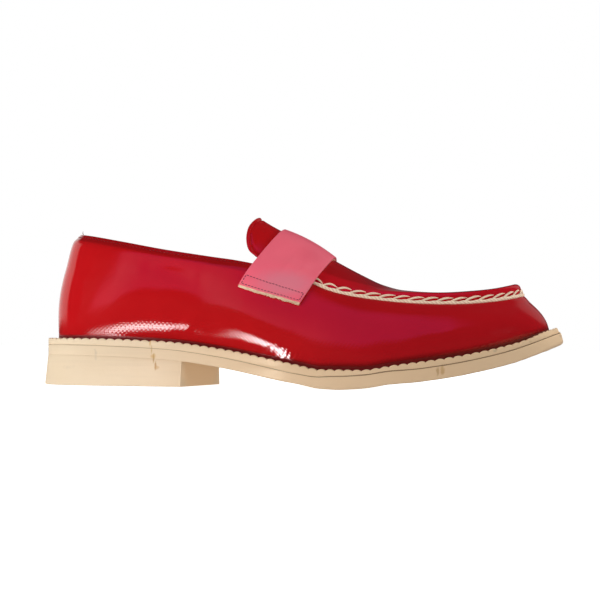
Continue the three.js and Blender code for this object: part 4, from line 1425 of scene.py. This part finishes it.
def makeLamps():
    for name, lamp in lamps.items():
        data = bpy.data.lights.new(name, "AREA")
        data.shape = "RECTANGLE"
        data.size, data.size_y = lamp["size"]
        data.energy = lamp["power"]
        light = addObject(name, data)
        light.location = lamp["spot"]
        way = Vector(lamp["aim"]) - Vector(lamp["spot"])
        light.rotation_euler = way.to_track_quat("-Z", "Y").to_euler()
        light.visible_camera = False
        light.visible_glossy = False


# bright cards just over the floor that show only in the gloss: both ends of each, its half width there, its
# height and glow, and the shares of its length over which the glow fades at each end
floorCards = {
    "heelCard": {"ends": [(-0.166, -0.0915), (-0.0795, -0.0725)], "half": (0.018, 0.012), "lift": 0.018,
                 "glow": 20.0, "fadeIn": 0.65, "fadeOut": 0.03},
    "waistCard": {"ends": [(-0.072, -0.079), (-0.004, -0.0475)], "half": (0.003, 0.003), "lift": 0.012,
                  "glow": 38.0, "fadeIn": 0.45, "fadeOut": 0.12},
}
cardFade = (0.2, 1.0)  # across each card, as shares of its half width


def makeFloorCards():
    for name, card in floorCards.items():
        start, end = np.array(card["ends"])
        across = unit(np.array([start[1] - end[1], end[0] - start[0]]))
        startHalf, endHalf = (across * half for half in card["half"])
        corners = [(*spot, card["lift"])
                   for spot in (start - startHalf, start + startHalf, end + endHalf, end - endHalf)]
        mesh = bpy.data.meshes.new(name)
        mesh.from_pydata(corners, [], [(0, 3, 2, 1)])
        layer = mesh.uv_layers.new(name="UVMap")
        for loop in mesh.loops:
            layer.data[loop.index].uv = ((0, -1), (0, 1), (1, 1), (1, -1))[loop.vertex_index]
        material, tree, shader = newMaterial(name, (0, 0, 0), 1.0, Emission_Strength=card["glow"])
        along, beside = sheetPlace(tree)[:2]
        share = rampNode(tree, mathNode(tree, "ABSOLUTE", beside), *cardFade, 1.0, 0.0)
        for reach in ((0, card["fadeIn"]), (1, 1 - card["fadeOut"])):
            share = mathNode(tree, "MULTIPLY", share, rampNode(tree, along, *reach))
        tree.links.new(share, shader.inputs["Emission Color"])
        mesh.materials.append(material)
        piece = addObject(name, mesh)
        piece.visible_camera = piece.visible_diffuse = piece.visible_shadow = False


# what the gloss mirrors: each edge is a way across the sky, with where along it the card starts and is full
softboxEdges = [((-0.5666, 0.2887, 0.7718), -0.02, 0.05), ((0, -1, 0), -0.05, 0.08),
                ((0.8, -0.6, 0), -0.06, 0.1), ((-0.643, -0.766, 0.25), 0.1, 0.5)]
skyCards = {
    "softbox": {"colour": (1.0, 0.11, 0.5), "edges": softboxEdges},
    "whiteBox": {"colour": (1.3, 0.37, 0.62), "edges": softboxEdges + [
        ((0, 0, -1), -0.95, -0.5), ((-0.921, 0.391, 0), -0.2, 0.2)]},
    "leftCard": {"colour": (1.0, 0.97, 0.94), "edges": [
        ((0.017, 1, 0), -0.03, 0.05), ((-0.999, -0.035, 0), 0.0, 0.2), ((0, 0, -1), -0.6, -0.45)]},
    "toeCard": {"colour": (0.27, 0.25, 0.255), "edges": [
        ((0.399, 0.774, 0.492), 0.915, 0.96), ((0.966, -0.259, 0), 0.0, 0.08)]},
}
skyLook = {"dark": (0.04, 0.03, 0.035), "white": (1, 1, 1), "onBody": 0.14}


def makeWorld():
    world = bpy.data.worlds.new("studio")
    world.use_nodes = True
    tree = world.node_tree
    tree.nodes.clear()
    way = addNode(tree, "ShaderNodeTexCoord").outputs["Generated"]
    colour = skyLook["dark"]
    for card in skyCards.values():
        share = 1.0
        for axis, low, high in card["edges"]:
            along = vectorNode(tree, "DOT_PRODUCT", way, axis)
            share = mathNode(tree, "MULTIPLY", rampNode(tree, along, low, high), share)
        colour = mixColour(tree, share, colour, card["colour"])
    mirrored, around, seen = (
        addNode(tree, "ShaderNodeBackground", {"Color": tone, "Strength": strength}) for tone, strength in (
            (colour, 1.0), (skyLook["white"], skyLook["onBody"]), (skyLook["white"], 1.0)))
    rays = addNode(tree, "ShaderNodeLightPath").outputs
    unseen = mixShader(tree, rays["Is Glossy Ray"], around, mirrored)
    mix = mixShader(tree, rays["Is Camera Ray"], unseen, seen)
    tree.links.new(mix.outputs[0], addNode(tree, "ShaderNodeOutputWorld").inputs[0])
    bpy.context.scene.world = world


makeCamera()
makeFloor()
makeLamps()
makeFloorCards()
makeWorld()
bpy.context.scene.view_settings.view_transform = "Standard"
print("camera, floor and lights ready")
